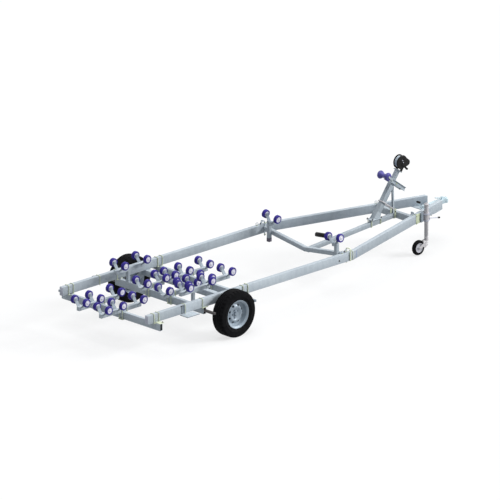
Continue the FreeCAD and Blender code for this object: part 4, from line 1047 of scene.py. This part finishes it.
crown, halfFork, thick = foot - 0.0003, prop["forkHalf"], prop["bladeThick"]
wheelAxle, halfAxle = pivot("jockey_wheel"), Vector((0, halfFork, 0))
hubX, hubZ, end = wheelAxle.x - legAxis.x, wheelAxle.z - crown, prop["bladeEnd"]
hubEnd = [(hubX + end * math.cos(turn), hubZ + end * math.sin(turn))
          for turn in map(math.radians, range(-65, -300, -26))]
forkBm = bmesh.new()
for side, sign in sides:
    y = sign * (halfFork - thick / 2) - thick / 2
    outline = [atLeg(x, y, crown + z) for x, z in (*prop["blade"], *hubEnd, *prop["bladeInner"])]
    addPlate(forkBm, outline, (0, thick, 0))
    addNut(forkBm, wheelAxle + sign * halfAxle, (0, sign, 0), 0.011, 0, 0.2)
addBlock(forkBm, atLeg(-0.027, -halfFork, crown - 0.010), atLeg(0.008, halfFork, crown), 0.0045)
addRod(forkBm, atLeg(0, 0, crown - 0.009), atLeg(0, 0, crown), 0.0275, 36)
addRod(forkBm, atLeg(0, 0, crown - 0.010), atLeg(0, 0, crown + 0.050), 0.0098, 20)
addRod(forkBm, wheelAxle - halfAxle, wheelAxle + halfAxle, 0.0078, 20)
addPiece(forkBm, "prop_fork", "jockey_fork", "jockey_steel", node="jockey_fork")

gripBm = bmesh.new()
# finish 2 is the darker zinc copy, painted shade on that block
for back, rear, front, thick, below, above, material in prop["holders"]:
    addBlock(gripBm, (rear, halfRail, railBottom - below), (front, halfRail + thick, railTop + above),
             0.002, material, onRail("right", legAxis.x - back))
plate = onRail("right", legAxis.x - prop["holders"][0][0])
for along in (-0.03, 0.03):
    for z in (railBottom + 0.012, railTop - 0.012):
        seat = plate @ Vector((along, halfRail + 0.006, z))
        addNut(gripBm, seat, plate.to_3x3() @ Vector((0, 1, 0)), 0.008, 1, 0.3)
for z in (railBottom - 0.006, railBottom + 0.084):
    low, high = z - prop["bandHalf"], z + prop["bandHalf"]
    spinLeg(gripBm, ringProfile(outer + 0.0005, outer + 0.009, low, high), 3, True)
    addBlock(gripBm, atLeg(-0.115, 0.004, low), atLeg(-0.032, 0.024, high), 0.002, 3)
    addBlock(gripBm, atLeg(0.034, -0.012, low), atLeg(0.066, 0.012, high), 0.002, 3)
spinLeg(gripBm, ringProfile(outer + 0.0005, outer + 0.004, railBottom + 0.006, railBottom + 0.072),
        0, True)
addRod(gripBm, atLeg(0.052, 0, railBottom - 0.012), atLeg(0.052, 0, railBottom + 0.094), 0.007, 14)
start, end = (atLeg(*spot) for spot in prop["lever"])
addRod(gripBm, start, end, 0.006, 14, 3)
addRod(gripBm, end, end + Vector((0.030, 0, -0.005)), 0.012, 18, 4)
addPiece(gripBm, "prop_clamp", "chassis", "jockey_steel",
         ["jockey_steel", "zinc_plate", "bracketZinc", "cap", "winch_black"], "jockey_clamp")
print("jockey wheel's tube and clamp made")


# end caps, steps and the strip at the bend

trim = {
    "cap": 0.004,  # rail end caps stand out so far
    "plug": 0.003,  # crossmember plugs sit in so far
    "tubeEnd": 0.854,  # middle and front crossmembers' ends
    "stepBack": 0.741,  # step behind the wheel's axle
    "stepLength": 0.230,
    "stepDepth": 0.150,
    "stepRibs": 3,
    "ribHeight": 0.004,
    "stripAhead": 0.068,  # bluish strip ahead of the bend
    "collar": 0.0255,
}
capBm = bmesh.new()
start = railLow.x - trim["cap"]
for side, sign in sides:
    addBlock(capBm, (start, railY - halfRail, railBottom), (railLow.x, railFace, railTop),
             0.0015, turn=mirrors[side])
    addBlock(capBm, (start - 0.0015, railY - 0.021, railBottom + 0.010),
             (start, railY + 0.021, railTop - 0.010), 0.001, turn=mirrors[side])
addPiece(capBm, "rail_caps", "chassis", "galvanised", ["cap"])
plugBm = bmesh.new()
for member in ("rear", "middle", "front"):
    middle = middleAndHalf(f"crossmember_{member}")[0]
    end = rearHigh.y if member == "rear" else trim["tubeEnd"]
    for side, sign in sides:
        addBlock(plugBm, (middle.x - 0.0198, end - 0.03, middle.z - 0.0448),
                 (middle.x + 0.0198, end - trim["plug"], middle.z + 0.0448), 0.001, turn=mirrors[side])
addPiece(plugBm, "crossmember_plugs", "chassis", "galvanised", ["sleeve"])

detailBm = bmesh.new()
stepX = pivot("road_wheel_left").x - trim["stepBack"]
pitch, collar = trim["stepDepth"] / trim["stepRibs"], trim["collar"]
half = trim["stepLength"] / 2 - 0.004
for side, sign in sides:
    for i in range(trim["stepRibs"]):
        y = railFace + (i + 0.5) * pitch
        addBlock(detailBm, (stepX - half, y - pitch * 0.34, railBottom - 0.004),
                 (stepX + half, y + pitch * 0.34, railBottom - 0.003 + trim["ribHeight"]), 0.001,
                 turn=mirrors[side])
    # bluish strip on the rail's outer face ahead of the bend
    addBlock(detailBm, (-0.014, halfRail - 0.001, railBottom + 0.008),
             (0.014, halfRail + 0.0012, railTop - 0.010), 0.0005, 1,
             onRail(side, bendX + trim["stripAhead"]))
    addNut(detailBm, (bowX - 0.201, sign * railFace, railBottom + 0.046), (0, sign, 0), 0.009, 2, 0.1)
    spot, foot = pivot(f"rollers_guide_{side}"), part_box(f"guide_post_{side}")[0].z
    y = spot.y + sign * 0.046
    addBlock(detailBm, (spot.x - collar, y - collar, foot - 0.002),
             (spot.x + collar, y + collar, foot + 0.052), 0.002, 3)
addBlock(detailBm, (railLow.x - 0.024, railY + 0.018, railTop - 0.068),
         (railLow.x, railY + 0.034, railTop - 0.036), 0.002)
bolt = Vector((noseX + 0.455, -0.206, railBottom))
addRod(detailBm, bolt - Vector((0, 0, 0.030)), bolt + Vector((0, 0, 0.004)), 0.009, 6, 2)
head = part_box("coupling_head")[1]
addBlock(detailBm, (head.x - 0.114, -0.010, head.z - 0.050), (head.x - 0.090, 0.010, head.z - 0.024),
         0.003, 2)
addPiece(detailBm, "frame_details", "chassis", "galvanised",
         ["galvanised", "weldZinc", "darkBolt", "collar"])
print("caps and small parts made")


# floor, light and camera

studio = {
    "floorSize": 90,
    "keyStrength": 2.40,
    "keyAngle": 20,
    "keyFrom": (0.71, -0.56, 0.43),
    "topStrength": 1.95,
    "topAngle": 60,
    "ambient": 0.28,
    "floorGlow": 0.7,  # share of the floor's look that is plain white
    "azimuth": 315.7,
    "elevation": 18.86,
    "lookAt": (-0.357, 0.0066, 0.660),
    "frameWidth": 6.742,  # metres across the frame
    "lens": 1600,
}


def seenDirectly(tree):
    # 1 for rays from the camera and for reflections and refractions
    path = addNode(tree, "LightPath")
    total = path.outputs["Is Camera Ray"]
    for ray in ("Is Glossy Ray", "Is Transmission Ray"):
        highest = addNode(tree, "Math")
        highest.operation = "MAXIMUM"
        tree.links.new(total, highest.inputs[0])
        tree.links.new(path.outputs[ray], highest.inputs[1])
        total = highest.outputs[0]
    return total


def mixShaders(tree, share, first, second):
    # share is a number or an output, 0 for the first shader and 1 for the second
    mix = addNode(tree, "MixShader")
    if isinstance(share, float):
        mix.inputs["Fac"].default_value = share
    else:
        tree.links.new(share, mix.inputs["Fac"])
    tree.links.new(first.outputs[0], mix.inputs[1])
    tree.links.new(second.outputs[0], mix.inputs[2])
    return mix


bpy.ops.mesh.primitive_plane_add(size=studio["floorSize"])
floor = bpy.context.object
floor.name = "floor"
floorPaint, tree, shader = startMaterial("floorPaint", (0.34, 0.35, 0.36), 0.95, specular=0)
pale = addNode(tree, "BsdfDiffuse", {"Color": (0.88, 0.88, 0.88, 1)})
faded = mixShaders(tree, studio["floorGlow"], pale, addNode(tree, "Emission"))
seen = mixShaders(tree, seenDirectly(tree), shader, faded)
tree.links.new(seen.outputs[0], tree.nodes["Material Output"].inputs["Surface"])
floor.data.materials.append(floorPaint)

world = bpy.data.worlds.new("studio")
bpy.context.scene.world = world
world.use_nodes = True
sky = world.node_tree
background = sky.nodes["Background"]
background.inputs["Strength"].default_value = studio["ambient"]
background.inputs["Color"].default_value = (0.93, 0.98, 1.06, 1)
white = addNode(sky, "Background", {"Color": (1, 1, 1, 1)})
either = mixShaders(sky, seenDirectly(sky), background, white)
sky.links.new(either.outputs[0], sky.nodes["World Output"].inputs["Surface"])


def addSun(name, strength, angle, source):
    lamp = bpy.data.objects.new(name, bpy.data.lights.new(name, "SUN"))
    lamp.data.energy = strength
    lamp.data.angle = math.radians(angle)
    lamp.rotation_mode = "QUATERNION"
    lamp.rotation_quaternion = Vector(source).to_track_quat("Z", "Y")
    bpy.context.scene.collection.objects.link(lamp)


addSun("keyLight", studio["keyStrength"], studio["keyAngle"], studio["keyFrom"])
addSun("topLight", studio["topStrength"], studio["topAngle"], (0, 0, 1))

around, up = math.radians(studio["azimuth"]), math.radians(studio["elevation"])
back = Vector((math.sin(around) * math.cos(up), -math.cos(around) * math.cos(up), math.sin(up)))
camera = bpy.data.objects.new("camera", bpy.data.cameras.new("camera"))
camera.data.lens = studio["lens"]
distance = studio["frameWidth"] * studio["lens"] / camera.data.sensor_width
camera.location = Vector(studio["lookAt"]) + back * distance
camera.rotation_mode = "QUATERNION"
camera.rotation_quaternion = back.to_track_quat("Z", "Y")
camera.data.clip_start, camera.data.clip_end = 1, distance * 2
bpy.context.scene.collection.objects.link(camera)
bpy.context.scene.camera = camera
bpy.context.scene.view_settings.view_transform = "Standard"
print("studio set")
